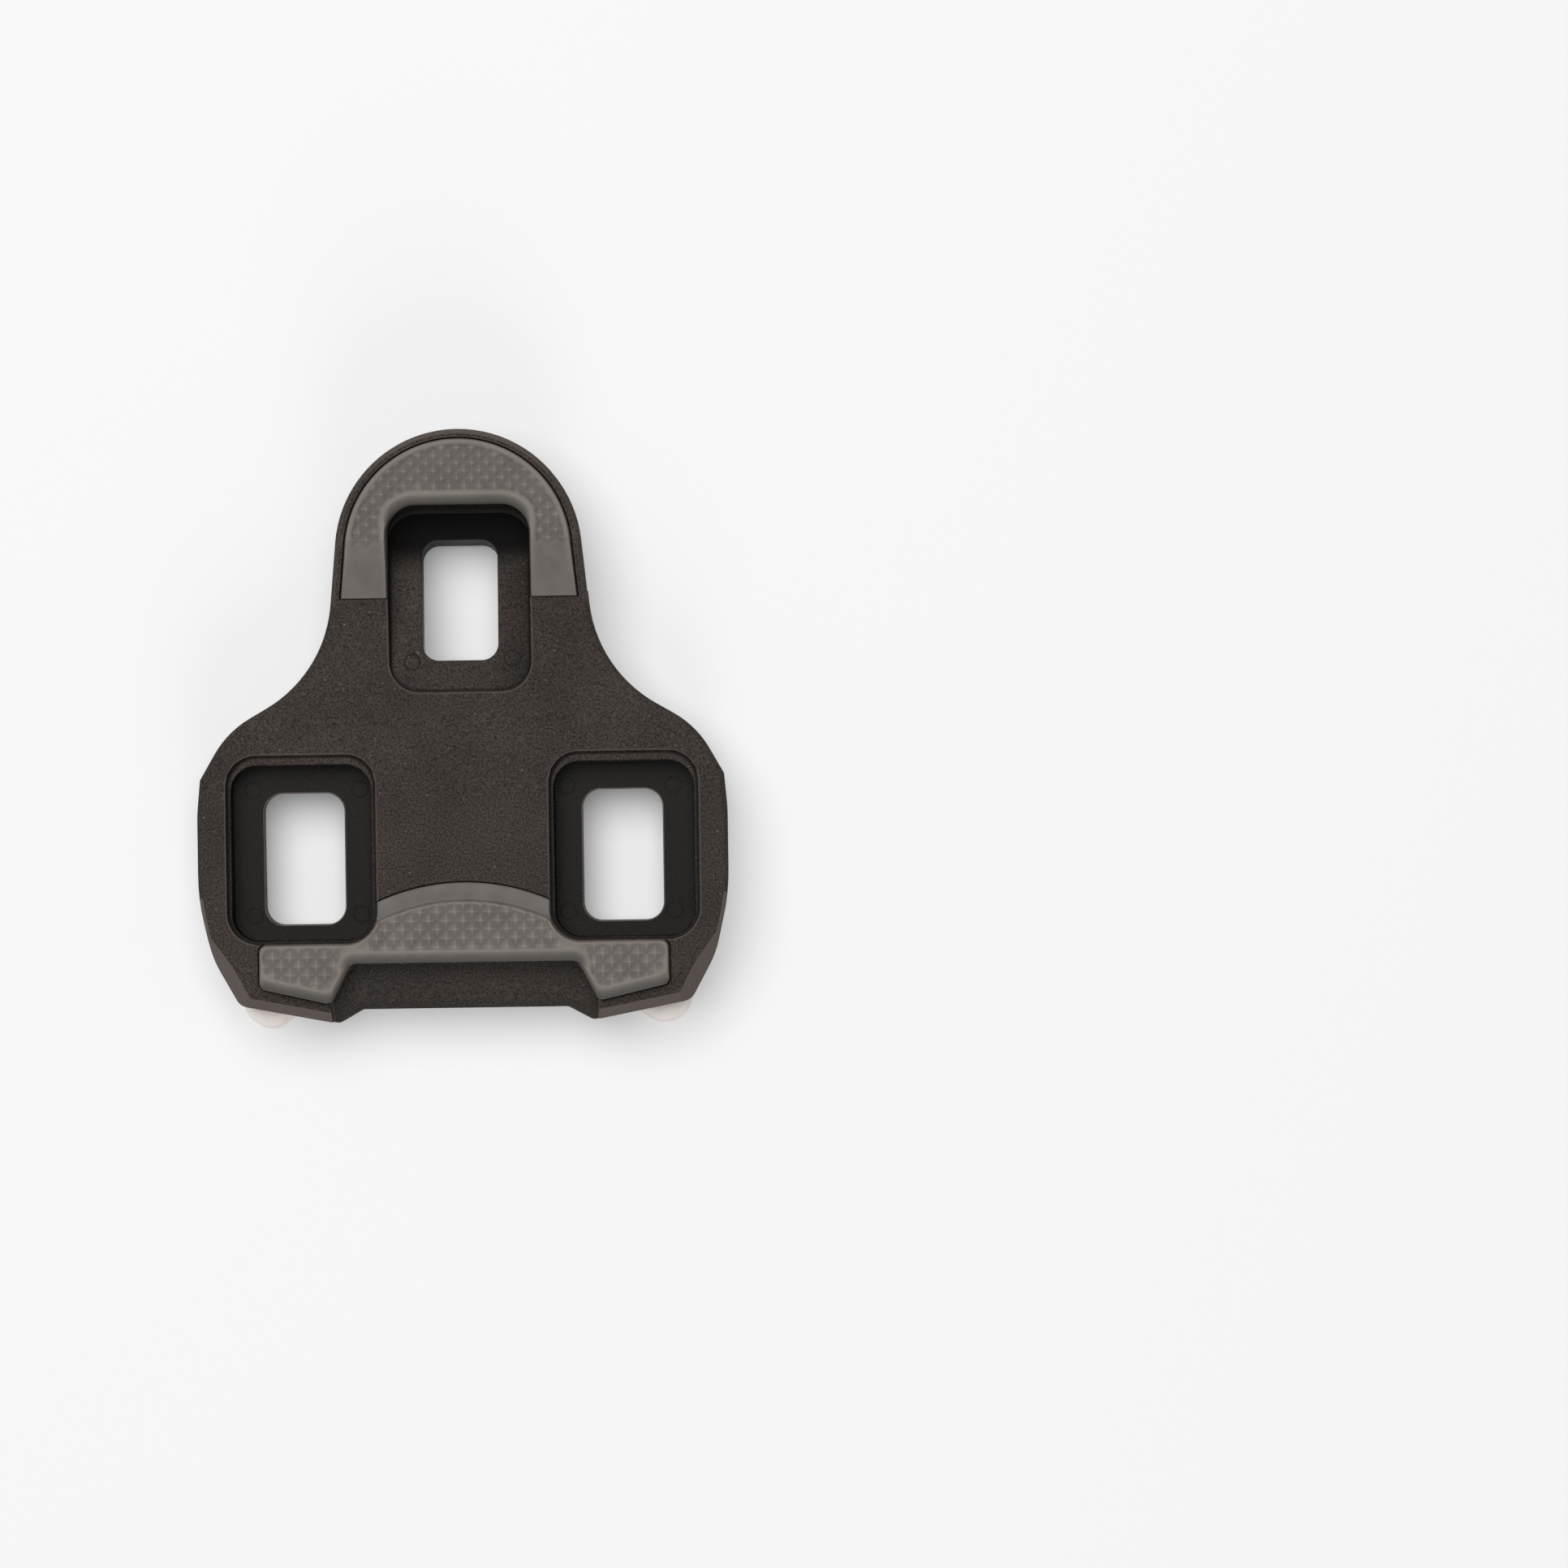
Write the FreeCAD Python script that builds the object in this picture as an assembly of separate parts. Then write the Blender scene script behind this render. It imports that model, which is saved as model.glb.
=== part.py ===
import FreeCAD, Part
import math
import os

# Three-bolt road shoe cleat, lying on its shoe side with the pedal side up.
# X runs across the cleat, +Y points to the nose, +Z points away from the shoe sole.
# The origin is on the resting plane, in the middle of the cleat's length and width.
# Sizes are in millimetres. Places in the plan follow from the three bolts' middles.

# Bolt pattern and slots for three M5 bolts
REAR_BOLT_X = 18.2
REAR_SLOT_Y = -14.8
REAR_SLOT_WIDTH = 9.15
REAR_SLOT_LENGTH = 15.0
REAR_SLOT_CORNER = 2.1
FRONT_SLOT_Y = 14.55
FRONT_SLOT_WIDTH = 8.65
FRONT_SLOT_LENGTH = 13.9
FRONT_SLOT_CORNER = 1.9

# Rear pockets: each is a stepped well round a rear slot
REAR_POCKET_SHIFT = 0.2
REAR_POCKET_WIDTH = 17.0
REAR_POCKET_AHEAD = 11.8
REAR_POCKET_BEHIND = 9.6
REAR_POCKET_CORNER = 3.5
REAR_POCKET_DEPTH = 4.1
POCKET_STEP_SIDE = 0.55
POCKET_STEP_FRONT = 1.1
POCKET_STEP_REAR = 0.3
POCKET_STEP_DEPTH = 1.1

# Front pocket: its floor leans down to the nose, and a ledge runs along its front wall
FRONT_POCKET_WIDTH = 16.1
FRONT_POCKET_AHEAD = 10.75
FRONT_POCKET_BEHIND = 10.45
FRONT_POCKET_CORNER = 3.3
FRONT_POCKET_REAR_DEPTH = 0.25
FRONT_FLOOR_TILT_DEG = 7.0
FRONT_LEDGE_WIDTH = 1.1
FRONT_LEDGE_HEIGHT = 1.8

# Outline of the nose and neck
NOSE_BAND = 8.65
NOSE_ARM = 5.95
NECK_BEND = 27.6
NECK_FLARE = 1.48
NECK_RADIUS = 15.3

# Outline of the wings: insets from the greatest half width, and runs back from corner to corner
SIDE_REACH = 12.0
SHOULDER_INSET = 3.44
SHOULDER_RUN = 5.49
SHOULDER_RADIUS = 11.0
WING_CORNER_INSET = 0.35
WING_CORNER_AHEAD = 9.15
WING_CORNER_RADIUS = 0.5
WING_FRONT_RUN = 3.95
WING_FRONT_RADIUS = 20.0
WING_REAR_RUN = 9.6
WING_REAR_RADIUS = 24.0

# Outline of the rear, from the pockets back to the tongue and the two lugs beside it
REAR_RIB = 2.5
TONGUE_HALF_WIDTH = 11.7
TONGUE_LENGTH = 5.15
TONGUE_CORNER_RADIUS = 0.9
LUG_FLARE = 2.8
LUG_RUN = 1.6
LUG_TIP_RADIUS = 1.0
HEEL_INSET = 4.4
HEEL_RUN = 2.2
HEEL_RADIUS = 1.6
FLANK_INSET = 1.56
FLANK_RUN = 5.25
FLANK_RADIUS = 11.0

# Side profile of the pedal side
PLATFORM_Z = 10.0
PLATFORM_AHEAD = 3.5
PLATFORM_RADIUS = 25.0
NECK_DIP = 2.05
NECK_DIP_RADIUS = 34.0
NOSE_RISE = 1.3
NOSE_FALL = 0.6
NOSE_BREAK_GAP = 0.6
NOSE_BREAK_RADIUS = 6.0
LUG_SLOPE_DEG = 12.0
LUG_SLOPE_RADIUS = 8.0
RIM_BEVEL = 0.4

# Slanted faces round the two rear corners: where each starts on top, and its slope
FLANK_BEVEL_FRONT_INSET = 0.9
FLANK_BEVEL_FRONT_RUN = 3.2
FLANK_BEVEL_REAR_INSET = 1.5
FLANK_BEVEL_REAR_RUN = 0.55
FLANK_BEVEL_DEG = 50.0
LUG_BEVEL_WIDTH = 1.1
LUG_BEVEL_DEG = 45.0

# Shoe side: a shallow arch that fits the curve of a shoe sole, with blind cells
SOLE_RADIUS = 140.0
SOLE_CREST_Y = -3.5
NOSE_LIP = 5.45
WALL_OVER_CORES = 3.2
CORE_SIZE = 6.3
CORE_RIB = 1.6
CORE_ROWS = 3
CORE_BEHIND_POCKET = 5.4
CORE_CORNER = 1.0
LUG_CORE_WIDTH = 4.2
LUG_CORE_LENGTH = 5.0
LUG_CORE_WALL = 2.65
LUG_CORE_FLARE = 0.6
LUG_CORE_ROOF = 3.8

# Nose lip and rear tongue, which the pedal's hook and jaw close over
LIP_UNDER_Z = 6.2
LIP_DEPTH = 13.0
LIP_BOSS_WALL = 2.15
LIP_BOSS_RADIUS = 6.5
TONGUE_STEP = 2.2
TONGUE_THICKNESS = 3.6
TONGUE_FALL_DEG = 3.0
TONGUE_ROOT_RADIUS = 0.8
TONGUE_EDGE = 0.7
JAW_SIDE_WALL = 0.5
JAW_DEPTH = 0.5
JAW_CORNER = 2.0

# Running gaps round the grip pads: to the pocket beside a pad, and to its own recess
PAD_TO_POCKET = 0.1
PAD_TO_SEAT = 0.15

# Front grip pad
NOSE_RIM = 0.95
FRONT_RAMP_LENGTH = 6.7
FRONT_PAD_SINK = 2.4
FRONT_PAD_PROUD = 0.6
FRONT_PAD_BEVEL = 0.6

# Rear grip pad, whose recess is as deep as the stepped mouth of the rear pockets
REAR_PAD_PROUD = 0.9
REAR_PAD_BEVEL = 0.6
REAR_PAD_RUN = 9.2
REAR_PAD_BOW = 2.1
REAR_BAND_WIDTH = 1.9
REAR_BAND_BOW = 2.25
REAR_BAND_OVERLAP = 2.4
LOBE_INSET = 6.85
LOBE_RUN = 1.85
LOBE_TIP_FLARE = 0.8
LOBE_TIP_WALL = 2.3
LOBE_ROOT_FLARE = 1.2
LOBE_ROOT_RADIUS = 1.0
LOBE_CORNER = 0.9
LOBE_TIP_CORNER = 0.8

# Diamond knurl on both grip pads
KNURL_DEPTH = 0.4
KNURL_FLAT = 0.25
KNURL_MARGIN = 0.35
KNURL_RUN_OUT = 2.0
FRONT_KNURL_PITCH = 1.22
REAR_KNURL_PITCH = 1.4

# Round soft pads under the two rear corners
CORNER_PAD_INSET = 3.65
CORNER_PAD_RUN = 1.25
CORNER_PAD_DIAMETER = 7.3
CORNER_PAD_HEIGHT = 3.0
CORNER_PAD_BEVEL = 0.8
CORNER_PAD_GAP = 0.1

# Reach of cutting and limiting solids beyond the cleat
BEYOND = 10.0

# Places that follow from the sizes: plan, from the pockets outwards
HALF_WIDTH = REAR_BOLT_X + SIDE_REACH
REAR_POCKET_X = REAR_BOLT_X + REAR_POCKET_SHIFT
REAR_POCKET_FRONT_Y = REAR_SLOT_Y + REAR_POCKET_AHEAD
REAR_POCKET_REAR_Y = REAR_SLOT_Y - REAR_POCKET_BEHIND
FRONT_POCKET_FRONT_Y = FRONT_SLOT_Y + FRONT_POCKET_AHEAD
FRONT_POCKET_REAR_Y = FRONT_SLOT_Y - FRONT_POCKET_BEHIND
NOSE_TIP_Y = FRONT_POCKET_FRONT_Y + NOSE_BAND
NOSE_RADIUS = FRONT_POCKET_WIDTH / 2 + NOSE_ARM
NECK_X = NOSE_RADIUS + NECK_FLARE
NECK_Y = NOSE_TIP_Y - NECK_BEND
WING_CORNER_Y = REAR_SLOT_Y + WING_CORNER_AHEAD
SHOULDER_Y = WING_CORNER_Y + SHOULDER_RUN
WING_FRONT_Y = WING_CORNER_Y - WING_FRONT_RUN
WING_REAR_Y = WING_FRONT_Y - WING_REAR_RUN
TONGUE_ROOT_Y = REAR_POCKET_REAR_Y - REAR_RIB
TONGUE_END_Y = TONGUE_ROOT_Y - TONGUE_LENGTH
LUG_TIP_X = TONGUE_HALF_WIDTH + LUG_FLARE
LUG_TIP_Y = TONGUE_END_Y - LUG_RUN
HEEL_X = HALF_WIDTH - HEEL_INSET
HEEL_Y = LUG_TIP_Y + HEEL_RUN
FLANK_X = HALF_WIDTH - FLANK_INSET
FLANK_Y = HEEL_Y + FLANK_RUN
FRONT_REST_Y = NOSE_TIP_Y - NOSE_LIP
NOSE_BREAK_Y = FRONT_POCKET_FRONT_Y - FRONT_POCKET_CORNER - NOSE_BREAK_GAP
FRONT_PAD_REAR_Y = NOSE_BREAK_Y - FRONT_RAMP_LENGTH
PLATFORM_FRONT_Y = REAR_POCKET_FRONT_Y - PLATFORM_AHEAD
REAR_PAD_FRONT_Y = TONGUE_ROOT_Y + REAR_PAD_RUN
REAR_PAD_WAIST_X = REAR_POCKET_X - REAR_POCKET_WIDTH / 2 - PAD_TO_POCKET
LOBE_X = HALF_WIDTH - LOBE_INSET
LOBE_TIP_X = LUG_TIP_X + LOBE_TIP_FLARE
LOBE_TIP_Y = LUG_TIP_Y + LOBE_TIP_WALL
LOBE_ROOT_X = TONGUE_HALF_WIDTH + LOBE_ROOT_FLARE
CORNER_PAD_X = HEEL_X - CORNER_PAD_INSET
CORNER_PAD_Y = HEEL_Y + CORNER_PAD_RUN

# Places that follow from the sizes: heights
REAR_POCKET_FLOOR_Z = PLATFORM_Z - REAR_POCKET_DEPTH
POCKET_STEP_Z = PLATFORM_Z - POCKET_STEP_DEPTH
NECK_DIP_Z = PLATFORM_Z - NECK_DIP
NOSE_BREAK_Z = PLATFORM_Z + NOSE_RISE
FRONT_PAD_SEAT_Z = NOSE_BREAK_Z - FRONT_PAD_SINK
TONGUE_Z = PLATFORM_Z - TONGUE_STEP
CORE_CEILING_Z = PLATFORM_Z - WALL_OVER_CORES
LUG_CORE_CEILING_Z = PLATFORM_Z - LUG_CORE_ROOF


def plan(x, y):
    """Point of a plan drawing, at height zero."""
    return FreeCAD.Vector(x, y, 0)


def side(y, z):
    """Point of a side drawing, on the middle plane."""
    return FreeCAD.Vector(0, y, z)


def half_angle(points, index):
    """Half the angle between the two edge lines that meet at a corner."""
    here = points[index]
    return (points[index - 1] - here).getAngle(points[(index + 1) % len(points)] - here) / 2


def fitted_radii(points, radii):
    """Corner radii, each limited where two neighbouring arcs would need more than their run."""
    reaches = [radius / math.tan(half_angle(points, index)) for index, radius in enumerate(radii)]
    shares = [1.0] * len(points)
    for index, here in enumerate(points):
        follows = (index + 1) % len(points)
        run = (points[follows] - here).Length
        needed = reaches[index] + reaches[follows]
        if needed > run + 1e-6:
            shares[index] = min(shares[index], run / needed)
            shares[follows] = min(shares[follows], run / needed)
    return [radius * share for radius, share in zip(radii, shares)]


def rounded_wire(corners, place=plan):
    """Closed wire of straight runs joined by tangent arcs; corners are (u, v, radius)."""
    points = [place(u, v) for u, v, radius in corners]
    radii = fitted_radii(points, [radius for u, v, radius in corners])
    bends = []
    for index, radius in enumerate(radii):
        here = points[index]
        back = (points[index - 1] - here).normalize()
        ahead = (points[(index + 1) % len(points)] - here).normalize()
        half = half_angle(points, index)
        reach = radius / math.tan(half)
        inward = (back + ahead).normalize()
        middle = here + inward * (radius / math.sin(half) - radius)
        bends.append((here + back * reach, middle, here + ahead * reach))
    edges = []
    for index, (start, middle, end) in enumerate(bends):
        if (end - start).Length > 1e-6:
            edges.append(Part.Arc(start, middle, end).toShape())
        follows = bends[(index + 1) % len(bends)][0]
        if (follows - end).Length > 1e-6:
            edges.append(Part.LineSegment(end, follows).toShape())
    return Part.Wire(edges)


def mirrored(right_half):
    """Whole closed corner list from its right half, which runs from front to rear."""
    left_half = [(-x, y, radius) for x, y, radius in reversed(right_half)]
    return right_half + left_half


def prism(wire, bottom, top):
    """Upright solid on a plan wire."""
    face = Part.Face(wire)
    face.translate(FreeCAD.Vector(0, 0, bottom))
    return face.extrude(FreeCAD.Vector(0, 0, top - bottom))


def across(wire, half_width):
    """Solid on a side wire, running across the cleat."""
    face = Part.Face(wire)
    face.translate(FreeCAD.Vector(-half_width, 0, 0))
    return face.extrude(FreeCAD.Vector(2 * half_width, 0, 0))


def rectangle(x, front_y, rear_y, width, corner):
    """Plan wire of a rounded rectangle."""
    left = x - width / 2
    right = x + width / 2
    return rounded_wire([
        (right, front_y, corner),
        (right, rear_y, corner),
        (left, rear_y, corner),
        (left, front_y, corner),
    ])


def both_sides(shape):
    """A shape and its mirror image across the middle plane."""
    return [shape, shape.mirror(FreeCAD.Vector(0, 0, 0), FreeCAD.Vector(1, 0, 0))]


def sole_height(y):
    """Height of the arched shoe side above the resting plane."""
    crest = SOLE_RADIUS - math.sqrt(SOLE_RADIUS ** 2 - (FRONT_REST_Y - SOLE_CREST_Y) ** 2)
    return crest - SOLE_RADIUS + math.sqrt(SOLE_RADIUS ** 2 - (y - SOLE_CREST_Y) ** 2)


def bow_radius(bow):
    """Radius of an arc that falls back by a given bow at the rear pad's waist."""
    return (REAR_PAD_WAIST_X ** 2 + bow ** 2) / (2 * bow)


def bowed_edge(half_width, tip_y, radius):
    """Corners of a bowed front edge that runs from the left end over the tip to the right end."""
    slope = math.asin(half_width / radius)
    end_y = tip_y - radius * (1 - math.cos(slope))
    apex_y = end_y + half_width * math.tan(slope)
    return [(-half_width, end_y, 0), (0, apex_y, radius), (half_width, end_y, 0)]


def nose_corner_x():
    """Half width at which the side lines, tangent to the nose, reach the height of its tip."""
    down = NOSE_TIP_Y - NOSE_RADIUS - NECK_Y
    lean = math.atan2(NECK_X, down) - math.asin(NOSE_RADIUS / math.hypot(NECK_X, down))
    return NECK_X - (NOSE_TIP_Y - NECK_Y) * math.tan(lean)


def outline():
    """Plan wire of the whole body."""
    return rounded_wire(mirrored([
        (nose_corner_x(), NOSE_TIP_Y, NOSE_RADIUS),
        (NECK_X, NECK_Y, NECK_RADIUS),
        (HALF_WIDTH - SHOULDER_INSET, SHOULDER_Y, SHOULDER_RADIUS),
        (HALF_WIDTH - WING_CORNER_INSET, WING_CORNER_Y, WING_CORNER_RADIUS),
        (HALF_WIDTH, WING_FRONT_Y, WING_FRONT_RADIUS),
        (HALF_WIDTH, WING_REAR_Y, WING_REAR_RADIUS),
        (FLANK_X, FLANK_Y, FLANK_RADIUS),
        (HEEL_X, HEEL_Y, HEEL_RADIUS),
        (LUG_TIP_X, LUG_TIP_Y, LUG_TIP_RADIUS),
        (TONGUE_HALF_WIDTH, TONGUE_END_Y, TONGUE_CORNER_RADIUS),
    ]))


def nose_plane_height(y):
    """Height of the nose's top face, which falls gently to the tip."""
    return NOSE_BREAK_Z - NOSE_FALL / (NOSE_TIP_Y - NOSE_BREAK_Y) * (y - NOSE_BREAK_Y)


def ramp_slope():
    """Rise of the ramp between the neck and the nose, for each millimetre of length."""
    return (NOSE_BREAK_Z - NECK_DIP_Z) / (NOSE_BREAK_Y - FRONT_POCKET_REAR_Y)


def ramp_height(y):
    """Height of the ramp between the nose and the neck, which dips at the front pocket's rear."""
    return NECK_DIP_Z + ramp_slope() * (y - FRONT_POCKET_REAR_Y)


def side_profile():
    """Side wire of the body: the stepped pedal side above, the arched shoe side below."""
    front = NOSE_TIP_Y + BEYOND
    rear = LUG_TIP_Y - BEYOND
    return rounded_wire([
        (front, nose_plane_height(front), 0),
        (NOSE_BREAK_Y, NOSE_BREAK_Z, NOSE_BREAK_RADIUS),
        (FRONT_POCKET_REAR_Y, NECK_DIP_Z, NECK_DIP_RADIUS),
        (PLATFORM_FRONT_Y, PLATFORM_Z, PLATFORM_RADIUS),
        (TONGUE_ROOT_Y, PLATFORM_Z, LUG_SLOPE_RADIUS),
        (rear, top_height(rear), 0),
        (rear, -BEYOND, 0),
        (front, -BEYOND, 0),
    ], side)


def arch():
    """Solid below the arched shoe side."""
    cylinder = Part.makeCylinder(SOLE_RADIUS, 2 * HALF_WIDTH + 2 * BEYOND)
    cylinder.rotate(FreeCAD.Vector(0, 0, 0), FreeCAD.Vector(0, 1, 0), 90)
    middle_z = sole_height(SOLE_CREST_Y) - SOLE_RADIUS
    cylinder.translate(FreeCAD.Vector(-HALF_WIDTH - BEYOND, SOLE_CREST_Y, middle_z))
    return cylinder


def blank():
    """Body before its pockets: outline, side profile, arch and softened upper edge."""
    shape = prism(outline(), 0, NOSE_BREAK_Z + BEYOND)
    shape = shape.common(across(side_profile(), HALF_WIDTH + BEYOND)).cut(arch())
    shape = shape.makeChamfer(RIM_BEVEL, rim_edges(shape))
    shape = shape.cut(both_sides(flank_bevel()) + both_sides(lug_bevel()))
    return shape.cut(tongue_step())


def rim_edges(shape):
    """Edges where the pedal side meets the upright outer wall."""
    edges = []
    for edge in shape.Edges:
        middle = edge.valueAt((edge.FirstParameter + edge.LastParameter) / 2)
        leans = []
        for face in shape.ancestorsOfType(edge, Part.Face):
            normal = face.normalAt(*face.Surface.parameter(middle))
            leans.append(abs(normal.z))
        if edge.BoundBox.ZMin > CORE_CEILING_Z and min(leans) < 0.01 < max(leans):
            edges.append(edge)
    return edges


def top_height(y):
    """Height of the platform and of the lugs that fall away behind it."""
    return PLATFORM_Z - max(0.0, TONGUE_ROOT_Y - y) * math.tan(math.radians(LUG_SLOPE_DEG))


def beyond_plane(point, normal):
    """Block with one face on the plane through a point, on the side that the normal points to."""
    size = 3 * HALF_WIDTH
    block = Part.makeBox(size, size, size, FreeCAD.Vector(-size / 2, -size / 2, 0))
    block.Placement = FreeCAD.Placement(point, FreeCAD.Rotation(FreeCAD.Vector(0, 0, 1), normal))
    return block


def bevel(start, end, slope_deg):
    """Right-hand half space beyond a bevel that starts on the line between two plan points."""
    first = FreeCAD.Vector(start[0], start[1], top_height(start[1]))
    second = FreeCAD.Vector(end[0], end[1], top_height(end[1]))
    along = (second - first).normalize()
    outward = along.cross(FreeCAD.Vector(0, 0, 1)).normalize() * -1
    down = math.tan(math.radians(slope_deg))
    falling = FreeCAD.Vector(outward.x, outward.y, -down)
    normal = along.cross(falling)
    right_side = Part.makeBox(HALF_WIDTH, 3 * NOSE_TIP_Y, 2 * NOSE_BREAK_Z)
    right_side.translate(FreeCAD.Vector(TONGUE_HALF_WIDTH / 2, LUG_TIP_Y - BEYOND, 0))
    return beyond_plane(first, normal).common(right_side)


def flank_bevel():
    """Slanted face along the right rear flank."""
    front = (HALF_WIDTH - FLANK_BEVEL_FRONT_INSET, FLANK_Y + FLANK_BEVEL_FRONT_RUN)
    rear = (HEEL_X - FLANK_BEVEL_REAR_INSET, HEEL_Y + FLANK_BEVEL_REAR_RUN)
    return bevel(front, rear, FLANK_BEVEL_DEG)


def lug_bevel():
    """Slanted face along the rear edge of the right lug."""
    run = math.hypot(HEEL_X - LUG_TIP_X, HEEL_Y - LUG_TIP_Y)
    inset_x = LUG_BEVEL_WIDTH * (LUG_TIP_Y - HEEL_Y) / run
    inset_y = LUG_BEVEL_WIDTH * (HEEL_X - LUG_TIP_X) / run
    return bevel((HEEL_X + inset_x, HEEL_Y + inset_y), (LUG_TIP_X + inset_x, LUG_TIP_Y + inset_y),
                 LUG_BEVEL_DEG)


def tongue_step():
    """What is cut away above the rear tongue, between the two lobes of the rear pad."""
    rear = LUG_TIP_Y - BEYOND
    edge_y = TONGUE_END_Y + TONGUE_EDGE
    edge_z = TONGUE_Z - (TONGUE_ROOT_Y - edge_y) * math.tan(math.radians(TONGUE_FALL_DEG))
    above = across(rounded_wire([
        (TONGUE_ROOT_Y, PLATFORM_Z + BEYOND, 0),
        (TONGUE_ROOT_Y, TONGUE_Z, TONGUE_ROOT_RADIUS),
        (edge_y, edge_z, TONGUE_EDGE),
        (rear, edge_z - (edge_y - rear), 0),
        (rear, PLATFORM_Z + BEYOND, 0),
    ], side), HALF_WIDTH)
    between = prism(rounded_wire(mirrored([
        (LOBE_ROOT_X, TONGUE_ROOT_Y, LOBE_ROOT_RADIUS),
        (LOBE_TIP_X, LOBE_TIP_Y, 0),
        (LUG_TIP_X, rear, 0),
    ])), 0, PLATFORM_Z + BEYOND)
    return above.common(between)


def front_floor_height(y):
    """Height of the tilted floor of the front pocket, which starts just under the neck."""
    bend = math.atan(ramp_slope()) / 2
    dip = NECK_DIP_Z + NECK_DIP_RADIUS * (1 / math.cos(2 * bend) - 1)
    start = dip - FRONT_POCKET_REAR_DEPTH
    return start - (y - FRONT_POCKET_REAR_Y) * math.tan(math.radians(FRONT_FLOOR_TILT_DEG))


def above_front_floor(lift):
    """Everything above the tilted floor of the front pocket, raised by lift."""
    lean = math.radians(FRONT_FLOOR_TILT_DEG)
    start = FreeCAD.Vector(0, FRONT_POCKET_REAR_Y, front_floor_height(FRONT_POCKET_REAR_Y) + lift)
    return beyond_plane(start, FreeCAD.Vector(0, math.sin(lean), math.cos(lean)))


def front_pocket_wire(grow=0.0):
    """Plan wire of the front pocket's mouth, grown all round."""
    return rectangle(0, FRONT_POCKET_FRONT_Y + grow, FRONT_POCKET_REAR_Y - grow,
                     FRONT_POCKET_WIDTH + 2 * grow, FRONT_POCKET_CORNER + grow)


def square_to_front_floor(wire, bottom, top):
    """Solid on a wire that is drawn round the front bolt's middle, square to the tilted floor."""
    shape = prism(wire, bottom, top)
    shape.rotate(FreeCAD.Vector(0, 0, 0), FreeCAD.Vector(1, 0, 0), -FRONT_FLOOR_TILT_DEG)
    shape.translate(FreeCAD.Vector(0, FRONT_SLOT_Y, front_floor_height(FRONT_SLOT_Y)))
    return shape


def front_pocket():
    """Front bolt pocket: its mouth above the ledge, the well below it, and the slot."""
    mouth = prism(front_pocket_wire(), 0, NOSE_BREAK_Z + BEYOND)
    mouth = mouth.common(above_front_floor(FRONT_LEDGE_HEIGHT))
    stretch = 1 / math.cos(math.radians(FRONT_FLOOR_TILT_DEG))
    well = square_to_front_floor(
        rectangle(0, (FRONT_POCKET_AHEAD - FRONT_LEDGE_WIDTH) * stretch,
                  -FRONT_POCKET_BEHIND * stretch, FRONT_POCKET_WIDTH, FRONT_POCKET_CORNER),
        0, FRONT_LEDGE_HEIGHT)
    half = FRONT_SLOT_LENGTH / 2
    slot = square_to_front_floor(
        rectangle(0, half, -half, FRONT_SLOT_WIDTH, FRONT_SLOT_CORNER), -BEYOND, BEYOND)
    return [mouth, well, slot]


def rear_pocket():
    """Right rear bolt pocket with its stepped mouth and its slot."""
    top = PLATFORM_Z + BEYOND
    mouth = prism(rectangle(REAR_POCKET_X, REAR_POCKET_FRONT_Y, REAR_POCKET_REAR_Y,
                            REAR_POCKET_WIDTH, REAR_POCKET_CORNER), POCKET_STEP_Z, top)
    well = prism(rectangle(REAR_POCKET_X, REAR_POCKET_FRONT_Y - POCKET_STEP_FRONT,
                           REAR_POCKET_REAR_Y + POCKET_STEP_REAR,
                           REAR_POCKET_WIDTH - 2 * POCKET_STEP_SIDE,
                           REAR_POCKET_CORNER - POCKET_STEP_SIDE), REAR_POCKET_FLOOR_Z, top)
    half = REAR_SLOT_LENGTH / 2
    slot = prism(rectangle(REAR_BOLT_X, REAR_SLOT_Y + half, REAR_SLOT_Y - half,
                           REAR_SLOT_WIDTH, REAR_SLOT_CORNER), -BEYOND, top)
    return [mouth, well, slot]


def lip_relief():
    """Space under the nose lip, round the boss that carries the front bolt."""
    rear_y = FRONT_REST_Y - LIP_DEPTH
    boss = prism(rectangle(0, FRONT_REST_Y, rear_y - BEYOND,
                           FRONT_POCKET_WIDTH + 2 * LIP_BOSS_WALL, LIP_BOSS_RADIUS),
                 -2 * BEYOND, LIP_UNDER_Z + BEYOND)
    around = prism(rectangle(0, NOSE_TIP_Y + BEYOND, rear_y, 4 * NOSE_RADIUS, 0),
                   -BEYOND, LIP_UNDER_Z)
    return around.cut(boss)


def jaw_relief():
    """Space for the pedal's jaw under the rear tongue."""
    width = 2 * (TONGUE_HALF_WIDTH - JAW_SIDE_WALL)
    return prism(rectangle(0, TONGUE_ROOT_Y + JAW_DEPTH, LUG_TIP_Y - BEYOND, width, JAW_CORNER),
                 -BEYOND, TONGUE_Z - TONGUE_THICKNESS)


def shoe_side_cores():
    """Blind cells in the shoe side, which keep the moulding's walls even."""
    cells = []
    pitch = CORE_SIZE + CORE_RIB
    for row in range(CORE_ROWS):
        front_y = FRONT_POCKET_REAR_Y - CORE_BEHIND_POCKET - row * pitch
        cell = prism(rectangle(pitch / 2, front_y, front_y - CORE_SIZE, CORE_SIZE, CORE_CORNER),
                     -BEYOND, CORE_CEILING_Z)
        cells += both_sides(cell)
    rear_y = LUG_TIP_Y + LUG_CORE_WALL
    lug = prism(rectangle(LUG_TIP_X + LUG_CORE_FLARE, rear_y + LUG_CORE_LENGTH, rear_y,
                          LUG_CORE_WIDTH, CORE_CORNER), -BEYOND, LUG_CORE_CEILING_Z)
    return cells + both_sides(lug)


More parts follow.
